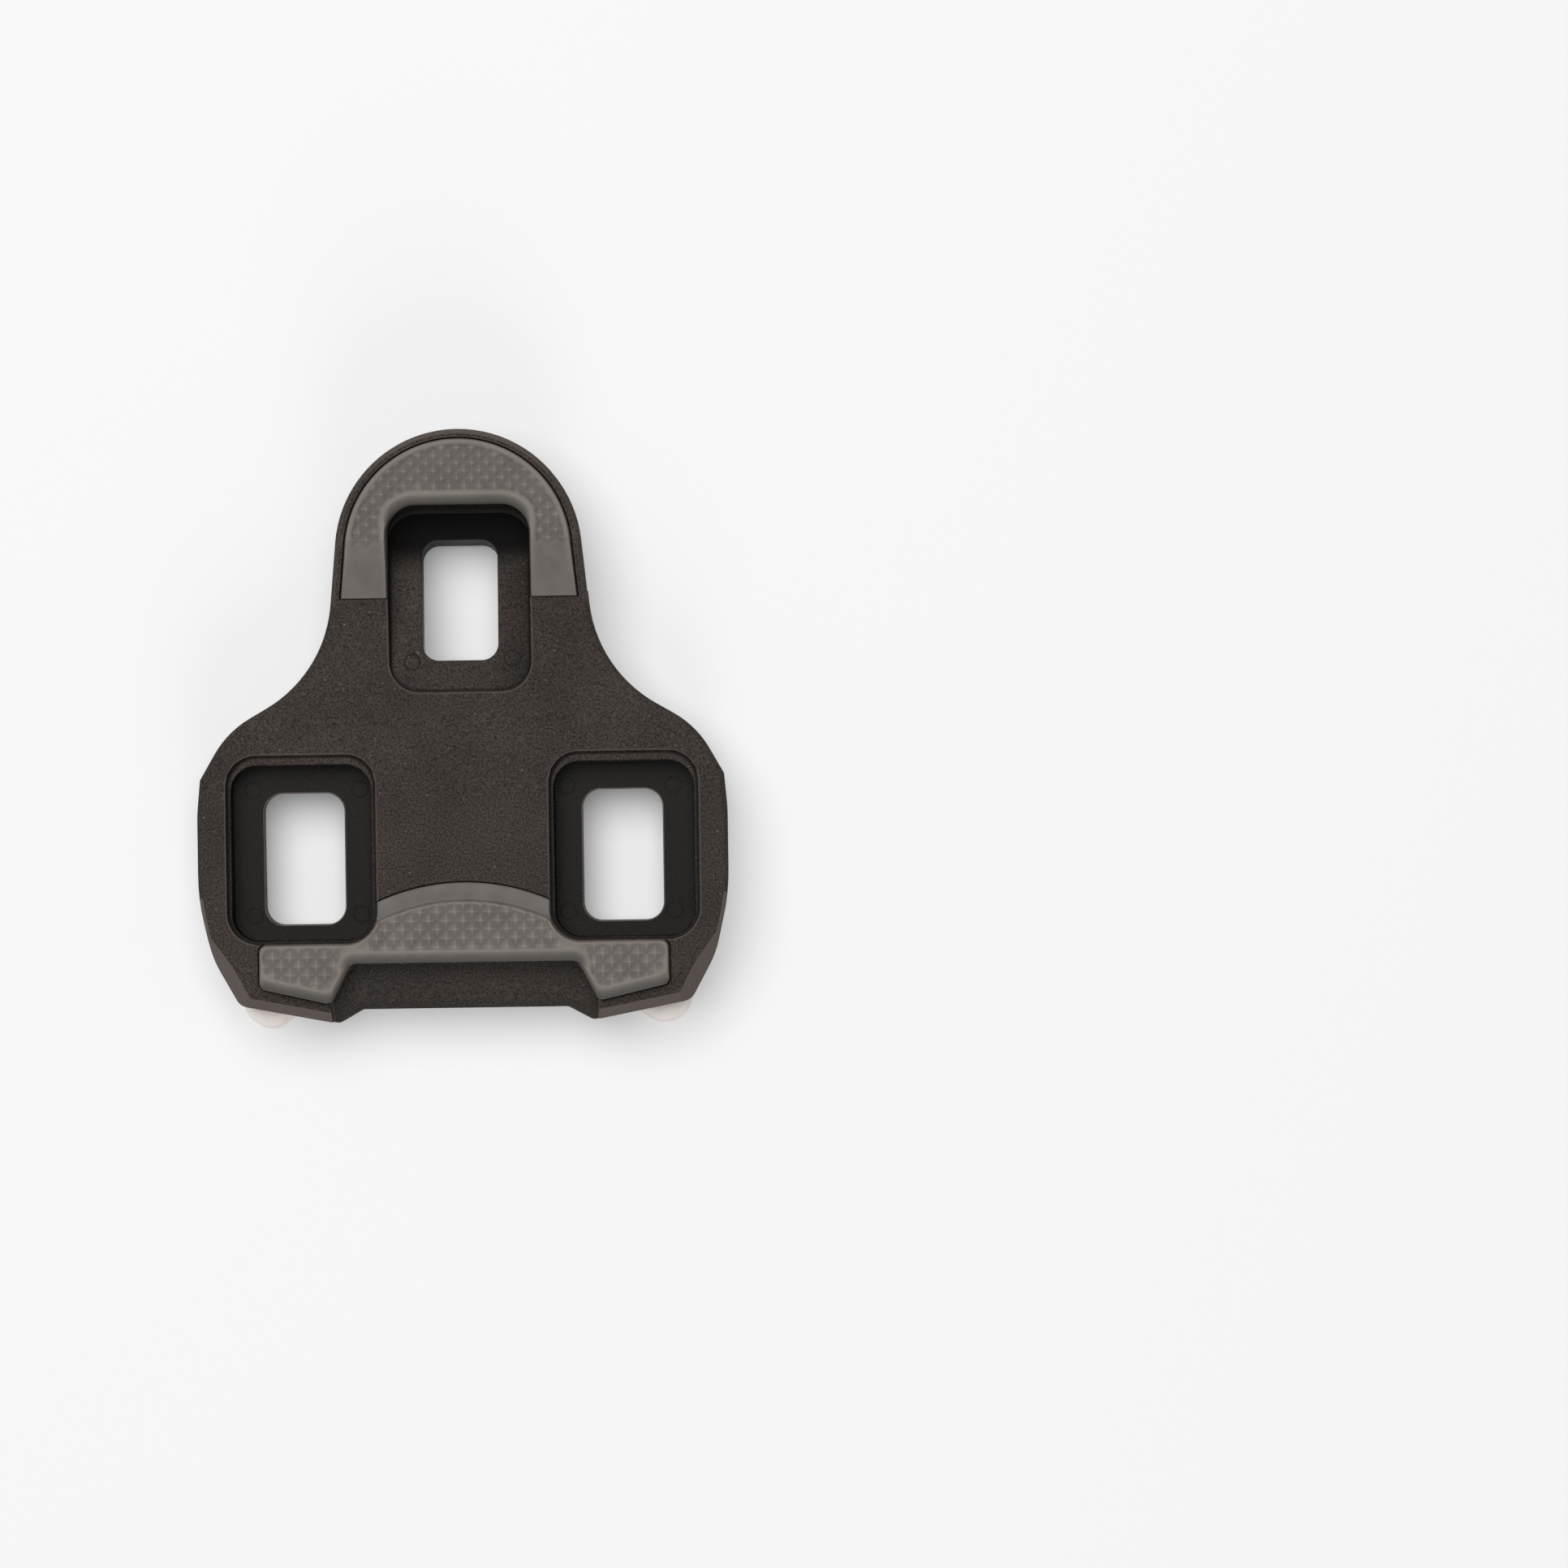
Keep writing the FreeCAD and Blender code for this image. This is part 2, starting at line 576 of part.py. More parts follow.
def nose_area(inset, rear_y):
    """Plan face of the nose in front of a given line, inset from the outline."""
    whole = Part.Face(outline()).makeOffset2D(-inset)
    size = NOSE_TIP_Y + BEYOND
    front = Part.makePlane(2 * size, size, FreeCAD.Vector(-size, rear_y, 0))
    return whole.common(front).Faces[0]


def front_pad_seat():
    """Recess for the front grip pad."""
    face = nose_area(NOSE_RIM, FRONT_PAD_REAR_Y)
    face.translate(FreeCAD.Vector(0, 0, FRONT_PAD_SEAT_Z))
    return face.extrude(FreeCAD.Vector(0, 0, NOSE_BREAK_Z))


def rear_pad_wire():
    """Plan wire of the rear grip pad, which follows the rear pockets' inner corners."""
    pocket_y = REAR_POCKET_REAR_Y - PAD_TO_POCKET
    right_side = [
        (REAR_PAD_WAIST_X, pocket_y, REAR_POCKET_CORNER + PAD_TO_POCKET),
        (LOBE_X, pocket_y, LOBE_CORNER),
        (LOBE_X, LOBE_TIP_Y + LOBE_RUN, LOBE_CORNER),
        (LOBE_TIP_X, LOBE_TIP_Y, LOBE_TIP_CORNER),
        (LOBE_ROOT_X, TONGUE_ROOT_Y + PAD_TO_SEAT, LOBE_ROOT_RADIUS),
    ]
    front = bowed_edge(REAR_PAD_WAIST_X, REAR_PAD_FRONT_Y, bow_radius(REAR_PAD_BOW))
    return rounded_wire(front + mirrored(right_side))


def rear_pad_seat():
    """Recess for the rear grip pad."""
    face = Part.Face(rear_pad_wire()).makeOffset2D(PAD_TO_SEAT)
    face.translate(FreeCAD.Vector(0, 0, POCKET_STEP_Z))
    return face.extrude(FreeCAD.Vector(0, 0, BEYOND))


def corner_pad_seat():
    """Round recess in the shoe side of the right rear corner."""
    return Part.makeCylinder(CORNER_PAD_DIAMETER / 2 + CORNER_PAD_GAP, BEYOND,
                             FreeCAD.Vector(CORNER_PAD_X, CORNER_PAD_Y,
                                            CORNER_PAD_HEIGHT - BEYOND))


def cleat_body():
    """The one black moulding that the bolts hold to the shoe."""
    shape = blank()
    shape = shape.cut([front_pad_seat(), rear_pad_seat()])
    shape = shape.cut(front_pocket())
    for cutter in rear_pocket():
        shape = shape.cut(both_sides(cutter))
    shape = shape.cut([lip_relief(), jaw_relief()])
    shape = shape.cut(both_sides(corner_pad_seat()))
    return shape.cut(shoe_side_cores())


def top_rim(shape, height, foot_z):
    """Edges where a pad's walls, which reach down to foot_z or lower, meet its top face."""
    edges = []
    for edge in shape.Edges:
        ends = [edge.FirstParameter, (edge.FirstParameter + edge.LastParameter) / 2,
                edge.LastParameter]
        points = [edge.valueAt(end) for end in ends]
        if any(abs(point.z - height(point.y)) > 0.001 for point in points):
            continue
        for face in shape.ancestorsOfType(edge, Part.Face):
            upright = abs(face.normalAt(0, 0).z) < 0.001
            if upright and face.BoundBox.ZMin < foot_z + 0.001:
                edges.append(edge)
    return edges


def knurled(shape, area, height, pitch):
    """Pad with two crossing families of V grooves in its flat top face, within a plan area."""
    zone = area.extrude(FreeCAD.Vector(0, 0, 2 * NOSE_BREAK_Z))
    middle_y = area.BoundBox.Center.y
    start = FreeCAD.Vector(0, middle_y, height(middle_y))
    lean_deg = math.degrees(math.atan(height(middle_y) - height(middle_y + 1)))
    reach = zone.BoundBox.DiagonalLength
    count = int(reach / pitch / 2) + 1
    top = KNURL_DEPTH / 8
    flare = (pitch - KNURL_FLAT) / 2 * (1 + top / KNURL_DEPTH)
    section = Part.Face(Part.makePolygon([side(-flare, top), side(flare, top),
                                          side(0, -KNURL_DEPTH), side(-flare, top)]))
    groove = section.extrude(FreeCAD.Vector(reach, 0, 0))
    groove.translate(FreeCAD.Vector(-reach / 2, 0, 0))
    origin = FreeCAD.Vector(0, 0, 0)
    for turn in 45, -45:
        family = []
        for index in range(-count, count + 1):
            line = groove.copy()
            line.translate(FreeCAD.Vector(0, index * pitch, 0))
            line.rotate(origin, FreeCAD.Vector(0, 0, 1), turn)
            line.rotate(origin, FreeCAD.Vector(1, 0, 0), -lean_deg)
            line.translate(start)
            family.append(line)
        shape = shape.cut(Part.makeCompound(family).common(zone))
    return shape


def front_grip_pad():
    """Grey horseshoe round the nose: knurled in front, a smooth ramp behind."""
    def top(y):
        return nose_plane_height(y) + FRONT_PAD_PROUD
    face = nose_area(NOSE_RIM + PAD_TO_SEAT, FRONT_PAD_REAR_Y)
    face.translate(FreeCAD.Vector(0, 0, FRONT_PAD_SEAT_Z))
    shape = face.extrude(FreeCAD.Vector(0, 0, NOSE_BREAK_Z))
    front = NOSE_TIP_Y + BEYOND
    shape = shape.common(across(rounded_wire([
        (front, top(front), 0),
        (NOSE_BREAK_Y, top(NOSE_BREAK_Y), 0),
        (FRONT_PAD_REAR_Y, ramp_height(FRONT_PAD_REAR_Y), 0),
        (FRONT_PAD_REAR_Y, 0, 0),
        (front, 0, 0),
    ], side), NOSE_RADIUS + BEYOND))
    shape = shape.cut(prism(front_pocket_wire(PAD_TO_POCKET), 0, front))
    inset = FRONT_PAD_BEVEL + KNURL_MARGIN
    area = nose_area(NOSE_RIM + PAD_TO_SEAT + inset, NOSE_BREAK_Y - KNURL_RUN_OUT)
    pocket = Part.Face(front_pocket_wire(PAD_TO_POCKET + inset))
    shape = knurled(shape, area.cut(pocket), top, FRONT_KNURL_PITCH)
    return shape.makeChamfer(FRONT_PAD_BEVEL, top_rim(shape, top, FRONT_PAD_SEAT_Z))


def rear_band_wire(grow=0.0):
    """Plan wire over the smooth band in front of the rear pad's raised block, grown rearward."""
    half_width = REAR_PAD_WAIST_X + REAR_BAND_OVERLAP
    step = bowed_edge(half_width, REAR_PAD_FRONT_Y - REAR_BAND_WIDTH - grow,
                      bow_radius(REAR_BAND_BOW) - grow)
    front_y = REAR_PAD_FRONT_Y + BEYOND
    return rounded_wire(step + [(half_width, front_y, 0), (-half_width, front_y, 0)])


def rear_grip_pad():
    """Grey wing-shaped pad at the rear: a smooth flush band, then a raised knurled block."""
    def top(y):
        return PLATFORM_Z + REAR_PAD_PROUD
    shape = prism(rear_pad_wire(), POCKET_STEP_Z, top(0))
    shape = shape.cut(prism(rear_band_wire(), PLATFORM_Z, top(0) + BEYOND))
    inset = REAR_PAD_BEVEL + KNURL_MARGIN
    area = Part.Face(rear_pad_wire()).makeOffset2D(-inset)
    shape = knurled(shape, area.cut(Part.Face(rear_band_wire(inset))), top, REAR_KNURL_PITCH)
    return shape.makeChamfer(REAR_PAD_BEVEL, top_rim(shape, top, PLATFORM_Z))


def corner_pad():
    """Round soft pad under the right rear corner."""
    shape = Part.makeCylinder(CORNER_PAD_DIAMETER / 2, CORNER_PAD_HEIGHT,
                              FreeCAD.Vector(CORNER_PAD_X, CORNER_PAD_Y, 0))
    upper_rim = [edge for edge in shape.Edges if edge.BoundBox.ZMin > CORNER_PAD_HEIGHT / 2]
    return shape.makeChamfer(CORNER_PAD_BEVEL, upper_rim)


def build():
    """Every sub-part of the cleat by its node's name."""
    right_pad, left_pad = both_sides(corner_pad())
    return {
        "cleat_body": cleat_body(),
        "front_grip_pad": front_grip_pad(),
        "rear_grip_pad": rear_grip_pad(),
        "rear_corner_pad_right": right_pad,
        "rear_corner_pad_left": left_pad,
    }


if __name__ == "__main__":
    os.makedirs("parts", exist_ok=True)
    for name, shape in build().items():
        print(name, shape.isValid(), len(shape.Solids), round(shape.Volume, 1), shape.BoundBox)
        shape.exportStep(os.path.join("parts", name + ".step"))
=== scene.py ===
import logging
import math
from collections.abc import Callable
from dataclasses import dataclass, field
from enum import Enum

import bmesh
import bpy
import numpy as np
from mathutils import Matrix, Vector, geometry, noise


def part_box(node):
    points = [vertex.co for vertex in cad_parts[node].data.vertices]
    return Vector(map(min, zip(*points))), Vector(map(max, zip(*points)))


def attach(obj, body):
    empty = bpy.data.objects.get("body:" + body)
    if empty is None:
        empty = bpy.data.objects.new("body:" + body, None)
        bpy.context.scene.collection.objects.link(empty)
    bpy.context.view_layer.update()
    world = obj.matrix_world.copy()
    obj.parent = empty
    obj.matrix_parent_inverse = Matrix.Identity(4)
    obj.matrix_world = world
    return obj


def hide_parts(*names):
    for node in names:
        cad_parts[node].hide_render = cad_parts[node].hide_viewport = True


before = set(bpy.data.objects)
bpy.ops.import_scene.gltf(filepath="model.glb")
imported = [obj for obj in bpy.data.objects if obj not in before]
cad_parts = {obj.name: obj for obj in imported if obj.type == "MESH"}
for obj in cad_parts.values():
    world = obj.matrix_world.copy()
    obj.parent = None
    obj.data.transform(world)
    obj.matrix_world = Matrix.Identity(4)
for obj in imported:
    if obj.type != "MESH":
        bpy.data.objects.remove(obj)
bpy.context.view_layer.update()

# Looks of a three-bolt road shoe cleat. It lies on its shoe side with the pedal side up:
# X runs across it, +Y points to its nose and +Z away from the shoe sole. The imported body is
# softened along its edges; the grip pads and corner pads are modelled here at full detail.

LOG = logging.getLogger("cleat")
MM = 0.001
BODY = "root"
Corner = tuple[float, float, float]
Colour = tuple[float, float, float]
Span = tuple[float, float]
Output = tuple[bpy.types.Node, str]
BLACK: Colour = (0.0, 0.0, 0.0)
WHITE: Colour = (1.0, 1.0, 1.0)


class Side(Enum):
    """Which half of the cleat a paired piece belongs to."""

    RIGHT = 1
    LEFT = -1


class Skin(Enum):
    """How the mould left a stretch of the body's surface, or where shade or highlight is painted on it; each name is
    a face attribute.
    """

    POLISHED_SHADED = "polished_shaded"
    PAINTED_SHADE = "painted_shade"
    SCUFFED = "scuffed"
    PAINTED_HIGHLIGHT = "painted_highlight"


# Finishes


class Shader:
    """A material's node tree, with short calls for the nodes that the finishes use."""

    def __init__(self, name: str) -> None:
        """Start an empty material.

        Args:
            name: The material's name.
        """
        self.material = bpy.data.materials.new(name)
        self.material.use_nodes = True
        self.tree = self.material.node_tree
        self.tree.nodes.clear()
        self.surface = self.add("ShaderNodeBsdfPrincipled")
        self.output = self.add("ShaderNodeOutputMaterial")
        self.link(self.surface, "BSDF", self.output, "Surface")
        self.place = self.add("ShaderNodeTexCoord")

    def add(self, kind: str, **sockets: object) -> bpy.types.Node:
        """Add a node and set its input sockets.

        Args:
            kind: The node's type name.
            **sockets: Values by socket name, with underscores for spaces.

        Returns:
            The new node.
        """
        node = self.tree.nodes.new(kind)
        for name, value in sockets.items():
            node.inputs[name.replace("_", " ")].default_value = value
        return node

    def link(self, start: bpy.types.Node, output: str | int, end: bpy.types.Node,
             socket: str | int) -> None:
        """Join one node's output to another node's input."""
        self.tree.links.new(start.outputs[output], end.inputs[socket])

    def noise(self, per_mm: float, detail: float = 2.0, roughness: float = 0.5) -> bpy.types.Node:
        """Add a noise texture in the object's own space.

        Args:
            per_mm: Number of noise cells in a millimetre.
            detail: Number of finer layers.
            roughness: Weight of the finer layers.

        Returns:
            The noise node.
        """
        node = self.add("ShaderNodeTexNoise", Scale=per_mm / MM, Detail=detail,
                        Roughness=roughness)
        self.link(self.place, "Object", node, "Vector")
        return node

    def ramp(self, source: bpy.types.Node, output: str, places: tuple[float, ...],
             colours: tuple[Colour, ...] = (BLACK, WHITE)) -> bpy.types.Node:
        """Add a colour ramp that is driven by a node.

        Args:
            source: The node that drives the ramp.
            output: The driving output.
            places: Where the colours stand, from 0 to 1.
            colours: The linear colour of each place.

        Returns:
            The ramp node.
        """
        node = self.add("ShaderNodeValToRGB")
        elements = node.color_ramp.elements
        while len(elements) < len(places):
            elements.new(0.5)
        for element, place, colour in zip(elements, places, colours):
            element.position = place
            element.color = (*colour, 1.0)
        self.link(source, output, node, "Fac")
        return node

    def attribute(self, name: str) -> Output:
        """Add a node that reads a mesh attribute."""
        node = self.add("ShaderNodeAttribute")
        node.attribute_name = name
        return node, "Fac"

    def separate(self) -> bpy.types.Node:
        """Add a node that gives the place on the object as X, Y and Z."""
        node = self.add("ShaderNodeSeparateXYZ")
        self.link(self.place, "Object", node, "Vector")
        return node

    def maths(self, operation: str, *inputs: Output | float) -> Output:
        """Add a maths node.

        Args:
            operation: What it works out.
            *inputs: Numbers, or nodes with the output that is used.

        Returns:
            The node with its output.
        """
        node = self.add("ShaderNodeMath")
        node.operation = operation
        for socket, value in enumerate(inputs):
            if isinstance(value, tuple):
                self.link(*value, node, socket)
            else:
                node.inputs[socket].default_value = value
        return node, "Value"

    def mix(self, factor: Output | float, first: bpy.types.Node | tuple,
            second: bpy.types.Node | tuple, blend: str = "MIX") -> bpy.types.Node:
        """Mix two colours by a factor.

        Args:
            factor: Share of the second colour, or the node and output that give it.
            first: A colour, or a node whose Color or Result output is used.
            second: The same for the second colour.
            blend: Blend type.

        Returns:
            The mix node, whose output is "Result".
        """
        node = self.tree.nodes.new("ShaderNodeMix")
        node.data_type = "RGBA"
        node.blend_type = blend
        if isinstance(factor, tuple):
            self.link(*factor, node, 0)
        else:
            node.inputs[0].default_value = factor
        for value, socket in ((first, node.inputs[6]), (second, node.inputs[7])):
            if isinstance(value, tuple):
                socket.default_value = (*value, 1.0)
            else:
                self.tree.links.new(self.colour_output(value), socket)
        return node

    @staticmethod
    def colour_output(node: bpy.types.Node) -> bpy.types.NodeSocket:
        """Return the colour output of a mix, ramp or texture node."""
        if node.bl_idname == "ShaderNodeMix":
            return node.outputs[2]
        return node.outputs["Color"]

    def colour_with(self, node: bpy.types.Node) -> None:
        """Use a node's colour as the surface's base colour."""
        self.tree.links.new(self.colour_output(node), self.surface.inputs["Base Color"])

    def bump(self, height: Output, depth_mm: float) -> None:
        """Raise the surface in its shading by a height from 0 to 1, times a depth."""
        node = self.add("ShaderNodeBump", Strength=1.0, Distance=depth_mm * MM)
        self.link(*height, node, "Height")
        self.link(node, "Normal", self.surface, "Normal")


@dataclass(frozen=True)
class MouldedPlastic:
    """Black glass-filled nylon with the fine spark-eroded grain of its mould."""

    name: str = "moulded_plastic"
    dark: Colour = (0.0185, 0.0142, 0.0118)
    light: Colour = (0.0630, 0.0535, 0.0470)
    fleck: Colour = (0.125, 0.108, 0.096)
    # Glossy finish whose colour is darkened as painted shade in the pockets and on the tongue.
    polished_shaded_dark: Colour = (0.0046, 0.0040, 0.0034)
    polished_shaded_light: Colour = (0.0118, 0.0102, 0.0088)
    # Painted shade for the front pocket's floor, under its front end and along its right side.
    painted_shade: Colour = (0.0048, 0.0042, 0.0040)
    scuff: Colour = (0.074, 0.046, 0.034)
    # Painted highlight on lug bevels, slot rims, pocket lips and the nose rim.
    painted_highlight: Colour = (0.132, 0.110, 0.099)
    # Painted highlight along pocket lips, and painted shadow just inside pocket walls.
    painted_lip_highlight: Colour = (0.092, 0.079, 0.070)
    painted_wall_shadow: Colour = (0.0070, 0.0060, 0.0055)
    dust: Colour = (0.55, 0.53, 0.50)
    roughness: float = 0.76
    polished_roughness: float = 0.50
    painted_shade_roughness: float = 0.95
    specular: float = 0.12
    grain_per_mm: float = 4.4
    grain_layers: Span = (3.0, 0.68)
    grain_depth_mm: float = 0.04
    cloud_per_mm: float = 0.12
    cloud_layers: float = 3.0
    cloud_range: Span = (0.3, 0.7)
    cloud_tints: tuple[Colour, Colour] = ((0.84, 0.84, 0.84), (1.14, 1.12, 1.10))
    torn_per_mm: float = 1.6
    torn_layers: Span = (4.0, 0.7)
    torn_range: Span = (0.46, 0.60)
    painted_shade_from_mm: float = 17.0
    painted_shade_to_mm: float = 21.0
    shaded_from_mm: float = 2.5
    shaded_to_mm: float = 8.5
    shaded_share: float = 0.55
    pockets_mm: tuple[tuple[float, ...], ...] = (
        (0.0, 14.7, 8.1, 10.65, 3.4), (18.4, -13.7, 8.5, 10.75, 3.6),
    )
    contour_reach_mm: float = 0.8
    contour_above_mm: float = 5.0
    painted_lip_highlight_stops: tuple[float, ...] = (0.52, 0.56, 0.60, 0.66)
    painted_wall_shadow_stops: tuple[float, ...] = (0.22, 0.36, 0.46, 0.53)
    contour_shares: Span = (0.55, 0.8)
    fleck_per_mm: float = 2.4
    fleck_range: Span = (0.73, 0.78)
    dust_cells_per_mm: float = 0.24
    dust_radius_mm: float = 0.085
    dusty_share: float = 0.12
    grain_range: Span = (0.38, 0.62)
    painted_highlight_share: float = 0.75
    scuff_height: float = 1.5

    def build(self) -> bpy.types.Material:
        """Return the finished material, which reads the body's Skin attributes and paints shade and highlights from
        them.
        """
        shader = Shader(self.name)
        grain = shader.noise(self.grain_per_mm, *self.grain_layers)
        cloud = shader.noise(self.cloud_per_mm, self.cloud_layers)
        base = shader.ramp(grain, "Fac", self.grain_range, (self.dark, self.light))
        tint = shader.ramp(cloud, "Fac", self.cloud_range, self.cloud_tints)
        clouded = shader.mix(1.0, base, tint, "MULTIPLY")
        flecks = shader.ramp(shader.noise(self.fleck_per_mm, 1.0), "Fac", self.fleck_range)
        coloured = shader.mix((flecks, "Color"), clouded, self.fleck)
        # Painted highlight: a lighter brown where edges and bevels catch the light.
        painted_highlight = shader.mix(self.painted_highlight_share, coloured, self.painted_highlight)
        coloured = shader.mix(shader.attribute(Skin.PAINTED_HIGHLIGHT.value), coloured, painted_highlight)
        # Painted highlight on each pocket's lip and painted shadow just inside it.
        for line, colour in zip(self.contours(shader), (self.painted_lip_highlight, self.painted_wall_shadow)):
            coloured = shader.mix(line, coloured, colour)
        # Glossy finish, darkened as painted shade for the pocket walls, floors and ledges.
        polished_shaded = shader.attribute(Skin.POLISHED_SHADED.value)
        polished_shaded_colour = shader.ramp(grain, "Fac", self.grain_range, (self.polished_shaded_dark, self.polished_shaded_light))
        coloured = shader.mix(polished_shaded, coloured, polished_shaded_colour)
        # Painted shade on the front pocket's floor: darker towards its nose end, where the pocket's front shades it,
        # and towards its right side.
        painted_shade = self.painted_shade_share(shader)
        coloured = shader.mix(painted_shade, coloured, self.painted_shade)
        scuffed = self.scuffs(shader)
        coloured = shader.mix(scuffed, coloured, self.scuff)
        shader.colour_with(shader.mix(self.specks(shader), coloured, self.dust))
        rough = shader.mix(polished_shaded, (self.roughness,) * 3, (self.polished_roughness,) * 3)
        rough = shader.mix(painted_shade, rough, (self.painted_shade_roughness,) * 3)
        shader.link(rough, 2, shader.surface, "Roughness")
        shader.surface.inputs["Specular IOR Level"].default_value = self.specular
        height = shader.maths("SUBTRACT", (grain, "Fac"), polished_shaded)
        height = shader.maths("MULTIPLY_ADD", scuffed, self.scuff_height, height)
        shader.bump(height, self.grain_depth_mm)
        return shader.material

    def painted_shade_share(self, shader: Shader) -> Output:
        """Return the share of painted shade on the front pocket's floor, which grows towards its nose end and
        towards its right side.
        """
        place = shader.separate()
        ahead = shader.add("ShaderNodeMapRange", From_Min=self.painted_shade_from_mm * MM,
                           From_Max=self.painted_shade_to_mm * MM)
        ahead.interpolation_type = "SMOOTHSTEP"
        shader.link(place, "Y", ahead, "Value")
        across = shader.add("ShaderNodeMapRange", From_Min=self.shaded_from_mm * MM,
                            From_Max=self.shaded_to_mm * MM, To_Max=self.shaded_share)
        shader.link(place, "X", across, "Value")
        either = shader.maths("MAXIMUM", (ahead, "Result"), (across, "Result"))
        return shader.maths("MULTIPLY", either, shader.attribute(Skin.PAINTED_SHADE.value))

    def contours(self, shader: Shader) -> list[Output]:
        """Return the shares of a painted highlight line just outside each pocket's outline and of a painted shadow
        line just inside it.
        """
        place = shader.separate()
        gaps = [self.pocket_gap(shader, place, pocket) for pocket in self.pockets_mm]
        reach = self.contour_reach_mm * MM
        gap = shader.add("ShaderNodeMapRange", From_Min=-reach, From_Max=reach)
        shader.link(*shader.maths("MINIMUM", *gaps), gap, "Value")
        above = shader.maths("GREATER_THAN", (place, "Z"), self.contour_above_mm * MM)
        lines = []
        for stops, share in zip((self.painted_lip_highlight_stops, self.painted_wall_shadow_stops), self.contour_shares):
            line = shader.ramp(gap, "Result", stops, (BLACK, (share,) * 3, (share,) * 3, BLACK))
            lines.append(shader.maths("MULTIPLY", (line, "Color"), above))
        return lines

    @staticmethod
    def pocket_gap(shader: Shader, place: bpy.types.Node, pocket: tuple[float, ...]) -> Output:
        """Return the plan distance to a pocket's rounded outline, which is negative inside it.

        Args:
            shader: The material in making.
            place: The node that gives X, Y and Z.
            pocket: Middle, half sizes and corner radius in millimetres, for both of its sides.

        Returns:
            The distance in metres.
        """
        middle_x, middle_y, half_x, half_y, radius = pocket
        beyond = []
        for start, middle, half in ((shader.maths("ABSOLUTE", (place, "X")), middle_x, half_x),
                                    ((place, "Y"), middle_y, half_y)):
            offset = shader.maths("ABSOLUTE", shader.maths("SUBTRACT", start, middle * MM))
            beyond.append(shader.maths("SUBTRACT", offset, (half - radius) * MM))
        corner = shader.add("ShaderNodeCombineXYZ")
        for offset, axis in zip(beyond, "XY"):
            shader.link(*shader.maths("MAXIMUM", offset, 0.0), corner, axis)
        outer = shader.add("ShaderNodeVectorMath")
        outer.operation = "LENGTH"
        shader.link(corner, "Vector", outer, 0)
        inner = shader.maths("MINIMUM", shader.maths("MAXIMUM", *beyond), 0.0)
        return shader.maths("SUBTRACT", shader.maths("ADD", (outer, "Value"), inner), radius * MM)

    def scuffs(self, shader: Shader) -> Output:
        """Return the share of rough brown flash, which is left where inserts met the mould."""
        torn = shader.noise(self.torn_per_mm, *self.torn_layers)
        torn = shader.ramp(torn, "Fac", self.torn_range)
        return shader.maths("MULTIPLY", shader.attribute(Skin.SCUFFED.value), (torn, "Color"))

    def specks(self, shader: Shader) -> Output:
        """Return 1 in a few tiny specks of dust and 0 elsewhere."""
        cells = shader.add("ShaderNodeTexVoronoi", Scale=self.dust_cells_per_mm / MM)
        shader.link(shader.place, "Object", cells, "Vector")
        near = shader.maths("LESS_THAN", (cells, "Distance"), self.dust_radius_mm * self.dust_cells_per_mm)
        split = shader.add("ShaderNodeSeparateColor")
        shader.link(cells, "Color", split, "Color")
        chosen = shader.maths("GREATER_THAN", (split, "Red"), 1 - self.dusty_share)
        return shader.maths("MULTIPLY", near, chosen)


@dataclass(frozen=True)
class GripRubber:
    """Grey rubber of the grip pads, brownish along its worn edges, with painted shade on its bevels and in its
    grooves, and pale, worn peaks that carry a painted highlight.
    """

    name: str = "grip_rubber_grey"
    grey: Colour = (0.104, 0.092, 0.084)
    pale: Colour = (0.136, 0.121, 0.110)
    worn: Colour = (0.250, 0.213, 0.180)
    # Worn peaks with a painted highlight where their ridges catch the light.
    peak_wear_and_highlight: Colour = (0.290, 0.271, 0.256)
    # Painted shade on the bevels and in the knurl's grooves.
    wall: Colour = (0.062, 0.056, 0.049)
    roughness: float = 0.66
    grain_per_mm: float = 7.0
    grain_depth_mm: float = 0.012
    cloud_per_mm: float = 0.4
    cloud_layers: float = 3.0
    cloud_range: Span = (0.3, 0.72)

    def build(self) -> bpy.types.Material:
        """Return the finished material, which reads the pad's attributes for wear, for painted shade on bevels and
        in grooves, and for worn peaks with a painted highlight.
        """
        shader = Shader(self.name)
        grain = shader.noise(self.grain_per_mm, 2.0)
        cloud = shader.noise(self.cloud_per_mm, self.cloud_layers)
        base = shader.ramp(cloud, "Fac", self.cloud_range, (self.grey, self.pale))
        # Painted shade on the bevels and in the grooves.
        walled = shader.mix(shader.attribute("wall"), base, self.wall)
        worn = shader.mix(shader.attribute("wear"), walled, self.worn)
        # Worn peaks with a painted highlight.
        shader.colour_with(shader.mix(shader.attribute("peak_wear_and_highlight"), worn, self.peak_wear_and_highlight))
        shader.surface.inputs["Roughness"].default_value = self.roughness
        shader.bump((grain, "Fac"), self.grain_depth_mm)
        return shader.material


@dataclass(frozen=True)
class PaleRubber:
    """Smooth pale rubber of the round corner pads."""

    name: str = "pale_rubber"
    dark: Colour = (0.95, 0.85, 0.80)
    light: Colour = (0.99, 0.92, 0.885)
    roughness: float = 0.5
    scatter: float = 0.12
    scatter_mm: float = 0.8
    grain_per_mm: float = 4.0
    grain_depth_mm: float = 0.012
    cloud_per_mm: float = 0.8
    cloud_layers: float = 3.0
    cloud_range: Span = (0.25, 0.6)

    def build(self) -> bpy.types.Material:
        """Return the finished material."""
        shader = Shader(self.name)
        cloud = shader.noise(self.cloud_per_mm, self.cloud_layers)
        shader.colour_with(shader.ramp(cloud, "Fac", self.cloud_range, (self.dark, self.light)))
        shader.surface.inputs["Roughness"].default_value = self.roughness
        shader.surface.inputs["Subsurface Weight"].default_value = self.scatter
        shader.surface.inputs["Subsurface Scale"].default_value = self.scatter_mm * MM
        shader.bump((shader.noise(self.grain_per_mm), "Fac"), self.grain_depth_mm)
        return shader.material


# Plan shapes


